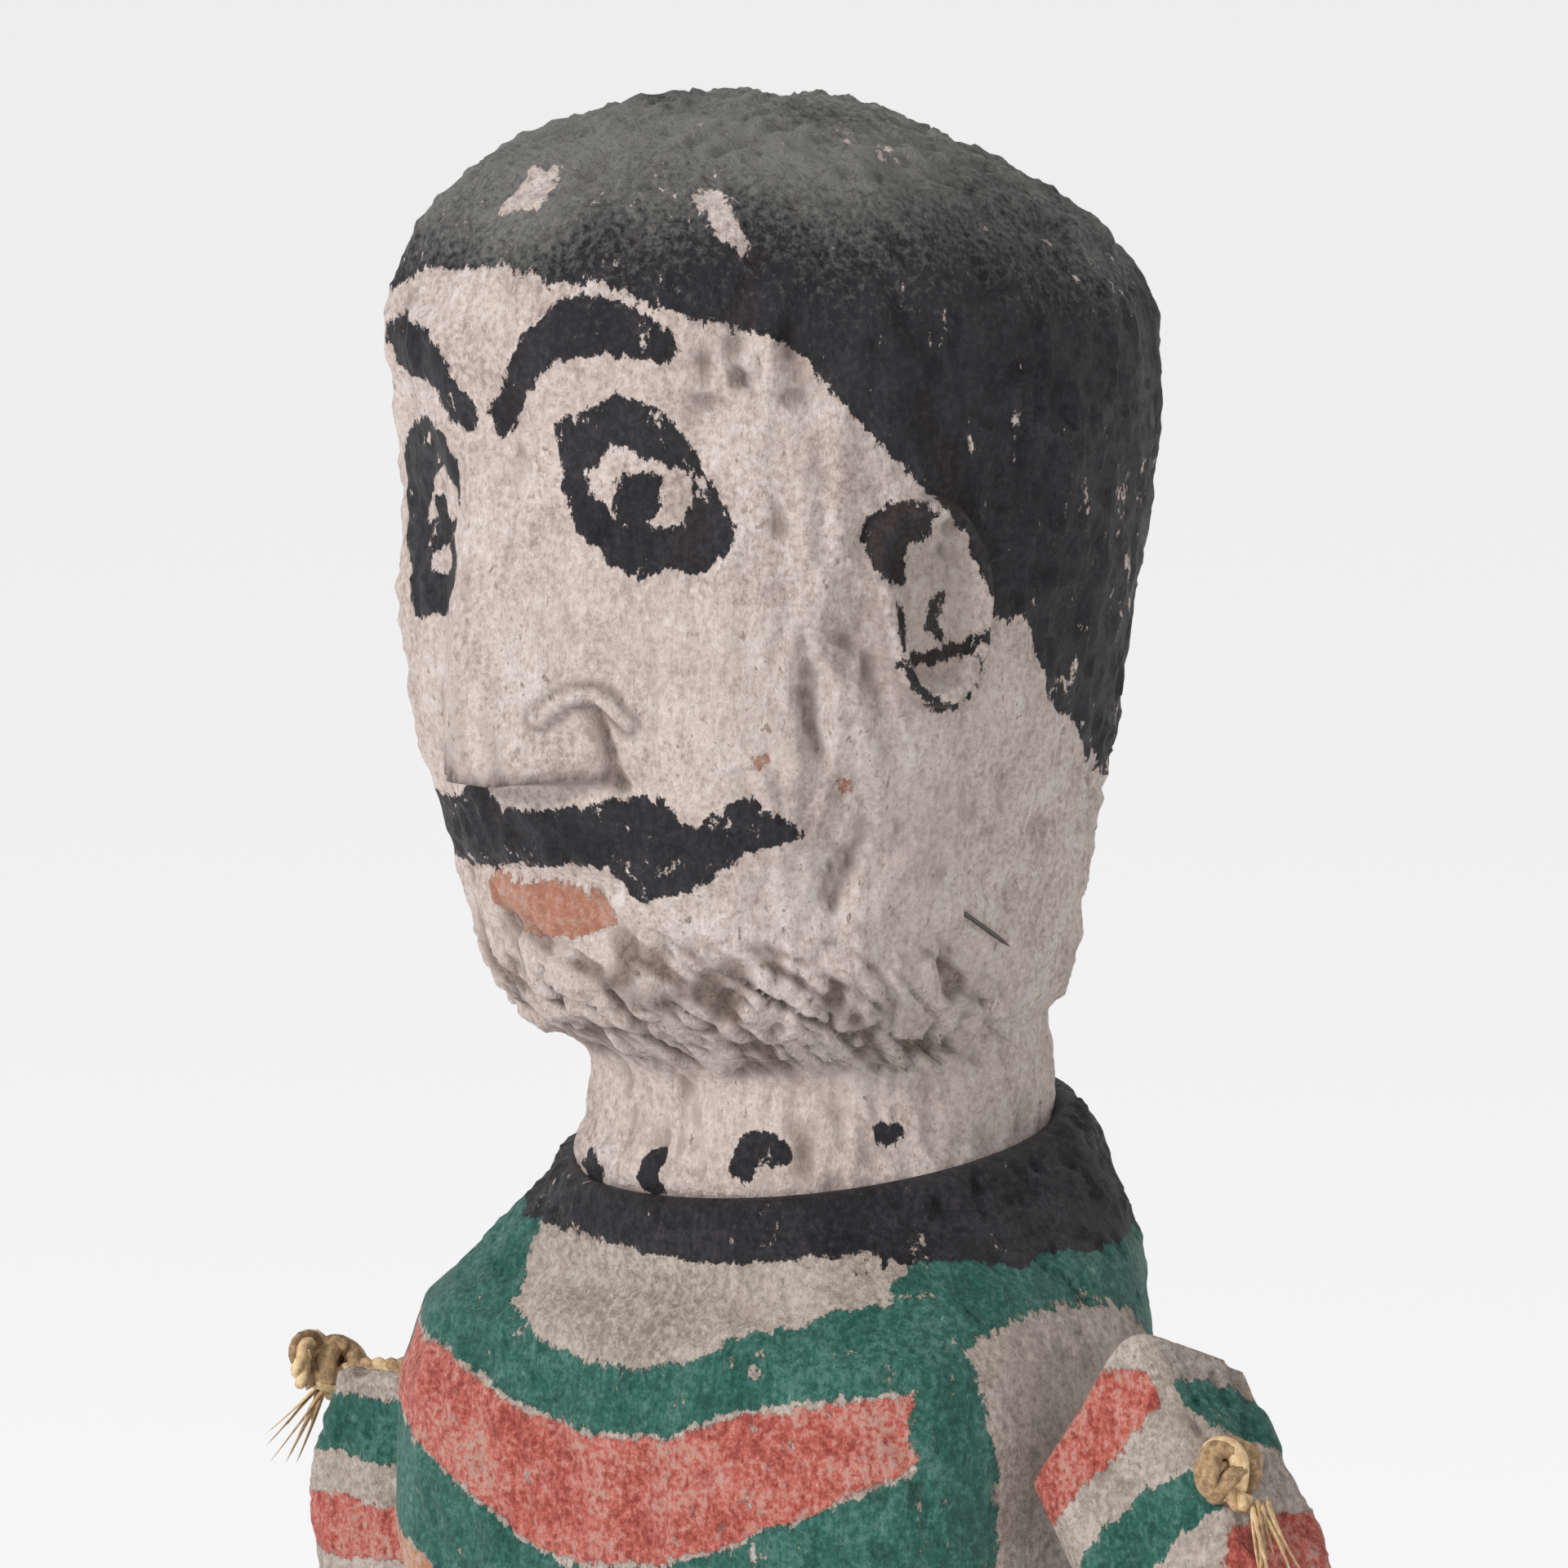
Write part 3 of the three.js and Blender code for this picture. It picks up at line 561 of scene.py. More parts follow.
def makeHead():
    rows = [
        {"z": seat + 0.4, "halfWidth": 6, "front": 6},
        {"z": seat + 0.4, "halfWidth": carving["neckRadius"], "front": carving["neckRadius"]},
        {"z": chin - 12, "halfWidth": carving["neckRadius"], "front": carving["neckRadius"]},
        {"z": chin - 5, "halfWidth": carving["neckRadius"], "front": carving["neckRadius"]},
    ]
    for share, facing, nape in headSections:
        rows.append({
            "z": chin + share * carving["headHeight"],
            "halfWidth": carving["headHalfWidth"] * (facing + nape) / 2,
            "front": carving["headHalfDepth"] * facing,
            "back": carving["headHalfDepth"] * nape,
            "power": 2.15,
            "y": carving["headMiddle"],
        })
    mesh, points = carve("carvedHead", rows, 340, 276)
    writePoints(mesh, points)
    out = normals(mesh)
    height = points[:, 2] - chin
    ahead = -(points[:, 1] - carving["headMiddle"]) / carving["headHalfDepth"]
    angle = np.degrees(np.arctan2(points[:, 0] / carving["headHalfWidth"], ahead))
    spots = np.stack([angle * carving["perDegree"], height], axis=1)
    onHead = smooth(-8, -2, height)

    # nose: a wedge that widens downward and ends in a flat underside
    drop = (face["noseRoot"] - height) / (face["noseRoot"] - face["noseBase"])
    widen = np.clip(drop, 0, 1)
    underside = smooth(face["noseBase"] - 0.4, face["noseBase"] + 1.3, height)
    rise = widen ** 0.85 * face["noseReach"] * underside
    half = 6 + (face["noseHalfWidth"] - 6) * widen
    ridge = 2.2 + (face["ridgeHalfWidth"] - 2.2) * widen
    flank = np.clip((half - np.abs(points[:, 0])) / (half - ridge), 0, 1)
    nose = rise * flank * (ahead > 0)
    inNose = (nose > 0.2).astype(float)

    # sockets, cheeks and mouth
    black = np.full(len(points), -12.0)
    for outline in faceBlack.values():
        black = np.maximum(black, patch(spots, onSkin(outline)))
    bareSpots = np.full(len(points), -12.0)
    for outline in faceBare.values():
        bareSpots = np.maximum(bareSpots, patch(spots, onSkin(outline)))
    for outline in facePupils.values():
        bareSpots = np.minimum(bareSpots, -patch(spots, onSkin(outline)))
    black = np.minimum(black, -bareSpots)
    for line in earLines:
        black = np.maximum(black, stroke(spots, onSkin(line), 0.75))
    hair = height - np.interp(angle, *zip(*hairline))
    fingers = 3.2 * noise(points, (3.5, 3.5, 30), 41) * smooth(62, 100, np.abs(angle))
    black = np.maximum(black, hair * 0.8 + fingers * 0.6)
    for outline in hairChips:
        black = np.minimum(black, -patch(spots, onSkin(outline)) - 0.4)
    lips = patch(spots, onSkin(faceLips))

    def bowl(atAngle, atHeight, acrossSize, upSize):
        across = (spots[:, 0] - atAngle * carving["perDegree"]) / acrossSize
        up = (height - atHeight) / upSize
        return np.exp(-(across ** 2 + up ** 2) ** 1.5)

    relief = np.zeros(len(points))
    earEdge = np.full(len(points), -12.0)
    for side in (-1, 1):
        relief -= face["socketDepth"] * bowl(side * 27, 67, 13, 10)
        relief += 0.9 * bowl(side * 20, 84.5, 17, 5)
        relief += 1.0 * bowl(side * 42, 44, 15, 14)
        disc = patch(spots, onSkin([(side * a, h) for a, h in (
            (63, 62), (68, 67), (77, 66), (83, 58), (83, 48), (77, 42.5), (69, 44), (64, 53))]))
        earEdge = np.maximum(earEdge, disc)
        relief += 2.5 * smooth(-0.7, 0.5, disc) - 1.9 * smooth(1.5, 3.0, disc)
    relief += 0.7 * bowl(0, 26, 26, 6)
    relief -= 0.9 * np.exp(-((height - 20.6) / 1.1) ** 2) * bowl(0, 20.6, 22, 8)
    relief += 0.7 * bowl(0, 16.5, 13, 3)
    relief *= onHead

    # knife work: long upright cuts, flat facets, and dug-out gouges under the jaw
    wandering = points + 3 * np.stack([noise(points, 17, s) for s in (3, 4, 5)], axis=1)
    cuts = ridges(wandering, (5.2, 5.2, 46), 7) + 0.5 * ridges(wandering, (2.4, 2.4, 25), 9)
    cuts = np.minimum(cuts, 0.9)
    facets = noise(wandering, (11, 11, 19), 12)
    fine = layeredNoise(points, (1.6, 1.6, 6), 15)
    amount = face["chiselDepth"] * (1 - 0.55 * inNose)
    gouged = smooth(20, 3, height) * smooth(-7, -1, height) * smooth(-0.5, 0.2, ahead)
    slant = wandering + np.outer(spots[:, 0], (0, 0, 0.45))
    dig = np.maximum(ridges(slant, (9, 9, 3.4), 21) - 0.25, 0)
    dig = dig + np.maximum(ridges(slant, (4, 4, 2), 22) - 0.5, 0)
    under = gouged * dig * face["chinGougeDepth"]
    crown = smooth(97, 110, height)
    shag = (layeredNoise(points, (1.7, 6, 2.4), 27) * 0.95 + ridges(points, (2.6, 8, 2.6), 28) * 0.35) * crown
    sideCuts = ridges(wandering, (2.7, 2.7, 20), 33) * smooth(33, 50, np.abs(angle)) * smooth(-16, -8, height)
    hairRough = ridges(wandering, (2.4, 2.4, 9), 29) * 0.22 + 0.12 * noise(points, 1.6, 30)
    hairRough = smooth(-1, 2, hair) * hairRough
    dents = np.minimum(noise(wandering, (4.2, 4.2, 7), 31) + 0.42, 0) * 0.9 * (1 - 0.6 * inNose)
    carved = amount * (cuts * 0.55 + facets * 0.75) * smooth(-22, -14, height) - under + shag
    carved += fine * 0.12 + dents + hairRough + 0.48 * sideCuts * (1 - smooth(-1, 1, hair))
    patchy = 0.55 + 0.45 * smooth(-0.3, 0.4, noise(points, 15, 46))
    carved += 1.45 * flaking(points, 47) * patchy * (1 - 0.45 * inNose) * smooth(-21, -17, height)
    curl = stroke(spots, onSkin(((12, 41), (16, 43.6), (21, 43.4), (25, 40.8))), 0.8)
    carved += 1.1 * smooth(-0.6, 0.5, curl)
    wing = np.exp(-((np.abs(points[:, 0]) - half - 0.4) / 0.8) ** 2) * (ahead > 0) * (drop < 1.02)
    carved -= 0.9 * wing * smooth(50, 40, height) * smooth(31, 33, height)
    relief += carved

    points = points + out * relief[:, None]
    points[:, 1] -= nose
    # the base of the nose overhangs a little
    points[:, 2] -= np.clip(nose - 3, 0, 5) * 0.22 * smooth(40, 34, height)
    behind = points[:, 0] * 0.55 + (points[:, 1] - carving["headMiddle"]) * 0.8
    points[:, 2] -= 5.0 * smooth(-4, 34, behind) * smooth(66, 108, height)
    writePoints(mesh, points)
    gritty = smooth(0, -16, height) * 0.3
    # painted shade round the wings and under the nose, and painted shade with staining down the front of its
    # ridge
    underNose = np.exp(-((height - 33.7) / 1.1) ** 2) * (np.abs(points[:, 0]) < 15) * (ahead > 0)
    creaseNose = np.exp(-((np.abs(points[:, 0]) - half) / 0.8) ** 2)
    creaseNose = creaseNose * smooth(31, 33, height) * smooth(46, 39, height)
    tip = smooth(48, 36, height) * smooth(33, 35, height) * smooth(7, 4, np.abs(points[:, 0] + 1))
    paintedShade = (underNose + creaseNose + tip * (0.35 + 0.9 * noise(points, (1.8, 1.8, 12), 37))) * (ahead > 0)
    for outline in neckSmudges:
        black = np.maximum(black, patch(spots, onSkin(outline)) + 0.9 * noise(points, 2.4, 48) - 0.3)
    for dotAngle, dotHeight in ((46, 36.5), (60, 33)):
        across = (angle - dotAngle) * carving["perDegree"]
        lips = np.maximum(lips, 1.0 - np.hypot(across, height - dotHeight))
    writeValues(mesh, "relief", carved * 1.3 - gritty - under * 0.4)
    # a painted shadow line along the outer edge of the raised curl
    paintedShade += 0.8 * smooth(-1.6, -0.5, curl) * smooth(0.2, -0.3, curl)
    scrape = bowl(27, 6, 9, 4) * (0.4 + 0.8 * noise(points, (5, 5, 2.5), 43))
    # painted shade along the ear's raised rim and in its hollow
    earRimShade = smooth(1.0, 0.0, np.abs(earEdge)) * 0.55 + smooth(2.0, 3.4, earEdge) * 0.3
    flecks = bowl(44, 81, 9, 5) * smooth(0.1, 0.5, noise(points, 2.6, 44))
    # this layer holds the scrape and the flecks, painted shade at the nose, curl and ear, and darkening in
    # the gouges under the jaw
    writeValues(mesh, "stainAndShade", np.clip(paintedShade * 0.95 + scrape + earRimShade + flecks + under * 0.35, 0, 1))
    writeValues(mesh, "black", black)
    writeValues(mesh, "lips", lips)
    dusty = smooth(84, 108, height) * (0.85 + 0.5 * noise(points, 14, 45)) + 0.05
    writeValues(mesh, "dust", dusty)
    inHair = (0.07 * noise(points, 13, 39) - 0.03) * smooth(0, 6, hair)
    writeValues(mesh, "wear", 0.055 + 0.05 * smooth(-0.1, 0.4, cuts) + inHair)
    skin = paintedWood("paintedSkin", ("lips", "black"))
    place("carvedHead", mesh, skin, "skin_paint", "rod_and_head", "head")
    print("head is carved and painted")


makeHead()


# shirt bands: where each ends, as (distance from the middle line, millimetres above the chin)
shirt = {
    "bareEnds": ((0, -39.6), (9, -39), (20, -35.4), (31, -31.5), (43, -27), (47, -24)),
    "greenEnds": ((0, -48.3), (10, -47.5), (22, -44), (34, -41), (43, -39), (47, -36), (50, -32)),
    "redEnds": ((0, -64.8), (10, -64), (20, -60.4), (34, -54.5), (44, -49), (50, -42)),
    "lowGreenEnds": ((0, -77), (30, -68.5), (42, -65), (50, -60)),
    "collarEnds": -26.0,
}


def upTo(points, ends, values):
    mirrored = [(-across, level) for across, level in ends[:0:-1]]
    line = smoothLine([*mirrored, *ends], steps=6)
    return values - np.interp(points[:, 0], line[:, 0], line[:, 1])


# chipped, adzed wood: long flat cuts across a block, with torn fibre between them
def adzed(points, seed, depth=0.5, length=22):
    wandering = points + 2.5 * np.stack([noise(points, 13, seed + s) for s in range(3)], axis=1)
    cuts = np.minimum(ridges(wandering, (8, 8, length), seed + 4), 0.85)
    torn = layeredNoise(points, (1.3, 1.3, 4.5), seed + 8)
    dents = np.minimum(noise(points, 4.5, seed + 12) + 0.45, 0)
    return depth * cuts * 0.7 + 0.14 * torn + 0.95 * dents + 1.55 * flaking(points, seed + 16)


def makeTorso():
    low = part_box("torso")[0].z / mm
    collar = carving["neckRadius"] + 3.4
    middle = carving["headMiddle"]
    lean = 10.0 / (2 * collar)
    rows = [
        {"z": low, "halfWidth": 7, "front": 7},
        {"z": low, "halfWidth": 38.5, "front": 25.5, "power": 2.6, "y": -3},
        {"z": low + 1.5, "halfWidth": 40, "front": 27, "power": 2.6, "y": -3},
        {"z": seat - 110, "halfWidth": 41, "front": 27, "power": 2.6, "y": -3},
        {"z": seat - 80, "halfWidth": 45.5, "front": 29, "power": 2.9, "y": -5},
        {"z": seat - 45, "halfWidth": 50, "front": 31, "back": 32.5, "power": 3.4, "y": middle},
        {"z": seat - 26, "halfWidth": 50, "front": 31, "back": 32.5, "power": 3.3, "y": middle},
        {"z": seat - 16, "halfWidth": 47.5, "front": 29.6, "back": 32.5, "power": 3, "y": middle + 0.5},
        {"z": seat - 7, "halfWidth": 42, "front": 29.5, "back": 32.5, "power": 2.6, "y": -2,
         "tilt": lean / 2},
        {"z": seat + 2, "halfWidth": collar + 3, "front": collar + 1, "back": collar + 3, "tilt": lean},
        {"z": seat + 6, "halfWidth": collar + 0.6, "front": collar + 0.4, "tilt": lean},
        {"z": seat + 6.6, "halfWidth": collar - 1, "front": collar - 1, "tilt": lean},
        {"z": seat + 5.6, "halfWidth": collar - 2.6, "front": collar - 2.6, "tilt": lean},
        {"z": seat + 1, "halfWidth": collar - 3, "front": collar - 3},
        {"z": seat, "halfWidth": collar - 3.4, "front": collar - 3.4},
        {"z": seat, "halfWidth": 8, "front": 8},
    ]
    mesh, points = carve("carvedTorso", rows, 320, 240, smoothed=False)
    writePoints(mesh, points)
    out = normals(mesh)
    height = points[:, 2] - chin
    away = np.hypot(points[:, 0], points[:, 1])
    outside = smooth(collar - 1.2, collar + 1.5, away) * smooth(0, 2, points[:, 2] - low)
    relief = adzed(points, 60, 0.6) * outside
    across = np.abs(points[:, 0])
    relief -= smooth(34, 38, across) * np.maximum(relief - 0.2, 0)

    wobble = 0.7 * noise(points, 7, 71) + 0.35 * noise(points, 2.5, 72)
    level = height + wobble
    bareEnd = upTo(points, shirt["bareEnds"], level)
    greenEnd = upTo(points, shirt["greenEnds"], level)
    redEnd = upTo(points, shirt["redEnds"], level)
    lowEnd = upTo(points, shirt["lowGreenEnds"], level)
    black = level - shirt["collarEnds"] - 1.2 * noise(points, (6, 6, 3), 74)
    # the two flat sides stay bare behind a green strip down each corner
    behind = points[:, 1] - middle
    fromCorner = np.where(behind < 0, 12.8 + behind, 27 - behind) + 0.5 * wobble
    sidePanel = np.minimum(across - 44.0, fromCorner)
    strip = np.minimum(np.minimum(across - 43, 4.4 - np.abs(fromCorner + 4.2)), -level - 24)
    farShoulder = -18.5 - points[:, 0] + 2 * wobble
    green = np.maximum(np.minimum(np.maximum(-bareEnd, farShoulder), greenEnd), np.minimum(-redEnd, lowEnd))
    green = np.maximum(np.minimum(green, -sidePanel), strip)
    shoulderGreen = np.minimum(np.minimum(across - 34, level + 29.5), -black + 2.2)
    green = np.maximum(green, shoulderGreen)
    red = np.minimum(np.minimum(-greenEnd, redEnd), -sidePanel)
    orange = np.minimum(-lowEnd, -sidePanel)
    crease = np.exp(-((fromCorner + 8.2) / 0.8) ** 2) * smooth(38, 42, across) * smooth(-27, -34, level)
    relief -= 0.7 * crease * smooth(-0.5, 0.3, noise(points, (9, 9, 5), 78))
    writePoints(mesh, points + out * relief[:, None])
    writeValues(mesh, "relief", relief * 1.1 + 0.05)
    writeValues(mesh, "black", black)
    writeValues(mesh, "green", green)
    writeValues(mesh, "red", red - 0.5)
    writeValues(mesh, "orange", orange - 0.4)
    writeValues(mesh, "dust", 0.06 + 0.1 * noise(points, 8, 79))
    writeValues(mesh, "wear", 0.075 + 0.06 * noise(points, 9, 77))
    paint = paintedWood("paintedShirt", ("red", "orange", "green", "black"), 4.0, "bare")
    place("carvedTorso", mesh, paint, "shirt_paint", "trunk", "torso")
    print("torso is carved and painted")


# Arms are shaped hanging from the top inner edge, then tipped out from the body
armShape = {
    "depth": 18.0,
    "middle": 1.0,           # behind the shoulder cord's line
    "pivotOut": 50.8,        # the arm's inner face, from the middle of the torso
    "elbowBelow": 85.0,
    "elbowNarrowing": 7.0,
    "tieBelow": 190.0,
    "slot": 8.8,
    "earRadius": 9.5,
}
armSides = {
    "left": {"sign": 1, "width": 27.0, "spread": 35.0, "holeDrop": 18.0, "rounded": 0.0, "peak": 8.0},
    "right": {"sign": -1, "width": 24.0, "spread": 0.0, "holeDrop": 3.0, "rounded": 2.5, "peak": 0.0},
}
bands = {
    "left": {
        "green": ((44, 50, 0), (66, 72, 0)),
        "red": ((32, 38, 0.2), (56, 63, 0)),
    },
    "right": {
        "green": ((4, 12, 0.0), (34, 42, 0), (62, 70, 0)),
        "red": ((17, 25, 0.0), (48, 56, 0), (76, 82, 0)),
    },
}


# patches on the near arm: across its front then its outer side, and down from its top edge
armPatches = {
    "green": (
        ((3, 14.5), (9, 12.6), (20, 12), (26, 12.4), (29, 14.5), (29, 18.5), (21, 18.6), (12, 20.4),
         (3, 20.6)),
        ((30.5, 1.5), (35, 2), (43, 6), (46, 13.5), (40, 12), (32, 7.5)),
    ),
    "red": (
        ((0, 0), (12, -3), (23, -3), (27, 2.5), (18, 5.5), (8, 6.5), (0, 7.5)),
        ((25, 24), (33, 20.5), (44, 21.5), (45, 28), (34, 31.5), (24, 30)),
    ),
}


def armPlace(side, points):
    tip = math.radians(side["spread"])
    x = points[:, 0] * side["sign"]
    z = points[:, 2]
    turned = np.stack([
        x * math.cos(tip) - side["sign"] * z * math.sin(tip),
        points[:, 1] + armShape["middle"],
        side["sign"] * x * math.sin(tip) + z * math.cos(tip),
    ], axis=1)
    pivot = side["sign"] * armShape["pivotOut"], carving["cordAhead"], chin - carving["cordBelowChin"]
    return turned + np.array(pivot)


def joinMeshes(name, parts):
    bm = bmesh.new()
    for part in parts:
        bm.from_mesh(part)
    bmesh.ops.recalc_face_normals(bm, faces=bm.faces)
    mesh = bpy.data.meshes.new(name)
    bm.to_mesh(mesh)
    bm.free()
    return mesh


def bandsOver(distance, spans, lean):
    best = np.full(len(distance), -12.0)
    for start, end, tilt in spans:
        at = distance + tilt * lean
        best = np.maximum(best, np.minimum(at - start, end - at))
    return best


def makeUpperArm(key):
    side = armSides[key]
    width, depth = side["width"], armShape["depth"]
    half = width / 2
    elbowHalf = (width - armShape["elbowNarrowing"]) / 2
    down = armShape["elbowBelow"]
    ear = armShape["earRadius"]
    rows = [
        {"z": -70.5, "halfWidth": 2, "front": 2, "x": half},
        {"z": -70.5, "halfWidth": elbowHalf + 0.3, "front": ear + 0.3, "power": 4, "x": half},
        {"z": -60, "halfWidth": elbowHalf + 1, "front": ear + 0.4, "power": 4, "x": half},
        {"z": -38, "halfWidth": half - 0.5, "front": depth / 2 - 0.3, "power": 4.5, "x": half},
        {"z": -14, "halfWidth": half, "front": depth / 2, "power": 5, "x": half},
        {"z": -1.2, "halfWidth": half - 0.3 - side["rounded"], "front": depth / 2 - 0.3, "power": 6,
         "x": half - side["rounded"]},
        {"z": 0, "halfWidth": half - 1.4 - side["rounded"], "front": depth / 2 - 1.2, "power": 5,
         "x": half - side["rounded"]},
        {"z": 0.3, "halfWidth": 3, "front": 3, "x": half},
    ]
    parts = [carve(f"{key}UpperArmBlock", rows, 180, 190, smoothed=False)]
    slot = armShape["slot"] / 2
    thick = (elbowHalf - slot) / 2
    for end in (-1, 1):
        rows = [{
            "z": -down + ear * math.sin(turn),
            "halfWidth": thick,
            "front": max(ear * math.cos(turn), 0.3),
            "power": 7,
            "x": half + end * (slot + thick),
        } for turn in np.radians(np.linspace(-88, 0, 9))]
        rows.append({**rows[-1], "z": -68.0, "front": ear, "back": ear})
        parts.append(carve(f"{key}Ear{end}", rows, 90, 60, smoothed=False))
    # the top is sawn off sloping down to the back
    top = parts[0][1]
    high = smooth(-34, 0, top[:, 2])
    slope = np.clip((top[:, 0] - 3) / (width - 3), 0, 1) ** 1.35
    top[:, 2] += high * (side["peak"] * slope - 0.5 * (top[:, 1] + depth / 2))
    for mesh, points in parts:
        writePoints(mesh, armPlace(side, points))
    local = np.vstack([points for mesh, points in parts])
    mesh = joinMeshes(f"{key}UpperArm", [part[0] for part in parts])
    out = normals(mesh)
    world = readPoints(mesh) / mm
    relief = adzed(local + 100 * side["sign"], 90 + side["sign"], 0.5)
    # the faces that pass the torso are cut flatter
    facing = np.maximum(smooth(6, 3, local[:, 0]), smooth(-8, -4, local[:, 2]))
    relief -= facing * np.maximum(relief - 0.15, 0)
    writePoints(mesh, world + out * relief[:, None])
    distance = -local[:, 2] + 0.7 * noise(local, 6, 31 + side["sign"])
    lean = local[:, 0] - half
    around = np.where(local[:, 1] < -depth / 2 + 1.6, local[:, 0], width + local[:, 1] + depth / 2)
    inward = local[:, 0] - np.maximum(local[:, 1] + depth / 2, 0)
    around = np.where(lean < 0, np.minimum(around, inward), around)
    spots = np.stack([around, distance], axis=1)
    values = {"green": bandsOver(distance, bands[key]["green"], lean) - 0.2,
              "red": bandsOver(distance, bands[key]["red"], lean) - 0.3}
    for colour, outlines in armPatches.items():
        for outline in outlines:
            if key == "left":
                values[colour] = np.maximum(values[colour], patch(spots, outline))
        writeValues(mesh, colour, values[colour])
    writeValues(mesh, "relief", relief * 1.1 + 0.05)
    writeValues(mesh, "wear", 0.06 + 0.05 * noise(local, 8, 33))
    material = paintedWood(f"{key}Sleeve", ("red", "green"), 4.0, "bare")
    place(f"{key}UpperArm", mesh, material, "shirt_paint", f"{key}_arm", f"{key}_upper_arm")


def makeForearm(key):
    side = armSides[key]
    half = side["width"] / 2
    wide = (side["width"] - armShape["elbowNarrowing"]) / 2
    down = armShape["elbowBelow"]
    rows = []
    for below, halfWidth, front, power in (
        (115, 1.5, 2.5, 2), (114.6, 3.4, 6, 2.2), (111, 5.4, 10.4, 2.6), (100, 6, 13, 3), (80, 6.2, 12, 3),
        (73, 6.8, 9.5, 2.8), (66, 7.5, 7, 2.6), (58, 8.2, 7.6, 2.8), (40, wide, 8.5, 3),
        (12.5, wide - 0.5, 8.4, 3.6), (11.5, wide - 1.3, 7.7, 3.4), (11.5, 2, 2, 2),
    ):
        rows.append({"z": -down - below, "halfWidth": halfWidth, "front": front, "power": power, "x": half})
    parts = [carve(f"{key}ForearmBlock", rows, 150, 190, smoothed=False)]
    tongue = armShape["slot"] / 2 - 0.4
    radius = armShape["earRadius"] - 1
    rows = [{"z": -down - 13.0, "halfWidth": tongue, "front": radius - 1, "power": 7, "x": half}]
    for turn in np.radians(np.linspace(0, 88, 9)):
        rows.append({
            "z": -down + radius * math.sin(turn),
            "halfWidth": tongue,
            "front": max(radius * math.cos(turn), 0.3),
            "power": 7,
            "x": half,
        })
    parts.append(carve(f"{key}Tongue", rows, 70, 50, smoothed=False))
    for mesh, points in parts:
        writePoints(mesh, armPlace(side, points))
    local = np.vstack([points for mesh, points in parts])
    mesh = joinMeshes(f"{key}Forearm", [part[0] for part in parts])
    out = normals(mesh)
    world = readPoints(mesh) / mm
    relief = adzed(local + 40 * side["sign"], 110 + side["sign"], 0.4, 30)
    # three cuts part the fingers, and a nick sets off the thumb
    below = -local[:, 2] - down
    onHand = smooth(93, 97, below)
    for at in (-5.6, 0, 5.6):
        relief -= 0.9 * onHand * np.exp(-((local[:, 1] - at) / 0.55) ** 2)
    relief -= 1.0 * smooth(82, 85, below) * smooth(100, 95, below) * np.exp(-((local[:, 1] + 9.2) / 0.6) ** 2)
    writePoints(mesh, world + out * relief[:, None])
    cuff = np.minimum(below - 52, 58 - below) + 0.6 * noise(local, 5, 44)
    writeValues(mesh, "relief", relief * 1.1 + 0.05)
    writeValues(mesh, "green", np.minimum(below - 16, 30 - below) + 0.6 * noise(local, 5, 45) - 0.2)
    band = np.minimum(below - 36, 45 - below) + 0.6 * noise(local, 5, 46)
    writeValues(mesh, "red", np.maximum(cuff, band) - 0.3)
    writeValues(mesh, "wear", 0.06 + 0.05 * noise(local, 8, 47))
    material = paintedWood(f"{key}Hand", ("red", "green"), 4.0)
    place(f"{key}Forearm", mesh, material, "shirt_paint", f"{key}_lower_arm", f"{key}_forearm")


makeTorso()
for armKey in armSides:
    makeUpperArm(armKey)
    makeForearm(armKey)
print("arms are carved and painted")


# Twisted plant fibre: a warm straw colour, mottled, with each strand a little lighter or darker at random
def fibreMaterial(name, colours=("#6E563C", "#A88A64", "#D3B88E")):
    material, tree, shader = newMaterial(name, Roughness=0.78)
    spot = addNode(tree, "TexCoord", {}, "Object")
    strand = addNode(tree, "Attribute", {}, "Fac", attribute_name="strand")
    hair = addNode(tree, "TexNoise", {"Vector": spot, "Scale": 1 / (1.1 * mm), "Detail": 5, "Roughness": 0.7})
    tone = addNode(tree, "Math", {0: hair, 1: strand}, operation="ADD")
    colour = addNode(tree, "ValToRGB", {"Fac": tone}, stops=zip((0.25, 0.5, 0.78), colours))
    finishShader(tree, shader, colour, hair, 0.3, 0.8)
    return material


# one strand: a sphere's rings led along a line of points, with a radius at each
def strandMesh(name, line, radius, sides=8, flat=1.0):
    line = np.asarray(line, float)
    count = max(len(line), 4)
    bm = bmesh.new()
    bmesh.ops.create_uvsphere(bm, u_segments=sides, v_segments=count, radius=1)
    mesh = bpy.data.meshes.new(name)
    bm.to_mesh(mesh)
    bm.free()
    unit = readPoints(mesh)
    along = (1 - np.arccos(np.clip(unit[:, 2], -1, 1)) / math.pi) * (len(line) - 1)
    steps = np.arange(len(line))
    centre = np.stack([np.interp(along, steps, line[:, k]) for k in range(3)], axis=1)
    tangent = np.gradient(line, axis=0)
    tangent /= np.maximum(np.linalg.norm(tangent, axis=1), 1e-9)[:, None]
    side = [np.cross(tangent[0], (0.31, 0.2, 0.93) if abs(tangent[0][2]) < 0.9 else (0.9, 0.2, 0.1))]
    for t in tangent[1:]:
        side.append(side[-1] - t * (side[-1] @ t))
        side[-1] /= max(np.linalg.norm(side[-1]), 1e-9)
    side[0] = side[0] / np.linalg.norm(side[0])
    side = np.array(side)
    other = np.cross(tangent, side)
    one = np.stack([np.interp(along, steps, side[:, k]) for k in range(3)], axis=1)
    two = np.stack([np.interp(along, steps, other[:, k]) for k in range(3)], axis=1)
    around = np.arctan2(unit[:, 1], unit[:, 0])
    offPole = np.hypot(unit[:, 0], unit[:, 1]) > 1e-4
    size = np.interp(along, steps, np.broadcast_to(radius, len(line))) * offPole
    points = centre + (one * np.cos(around)[:, None] + two * np.sin(around)[:, None] * flat) * size[:, None]
    writePoints(mesh, points)
    return mesh


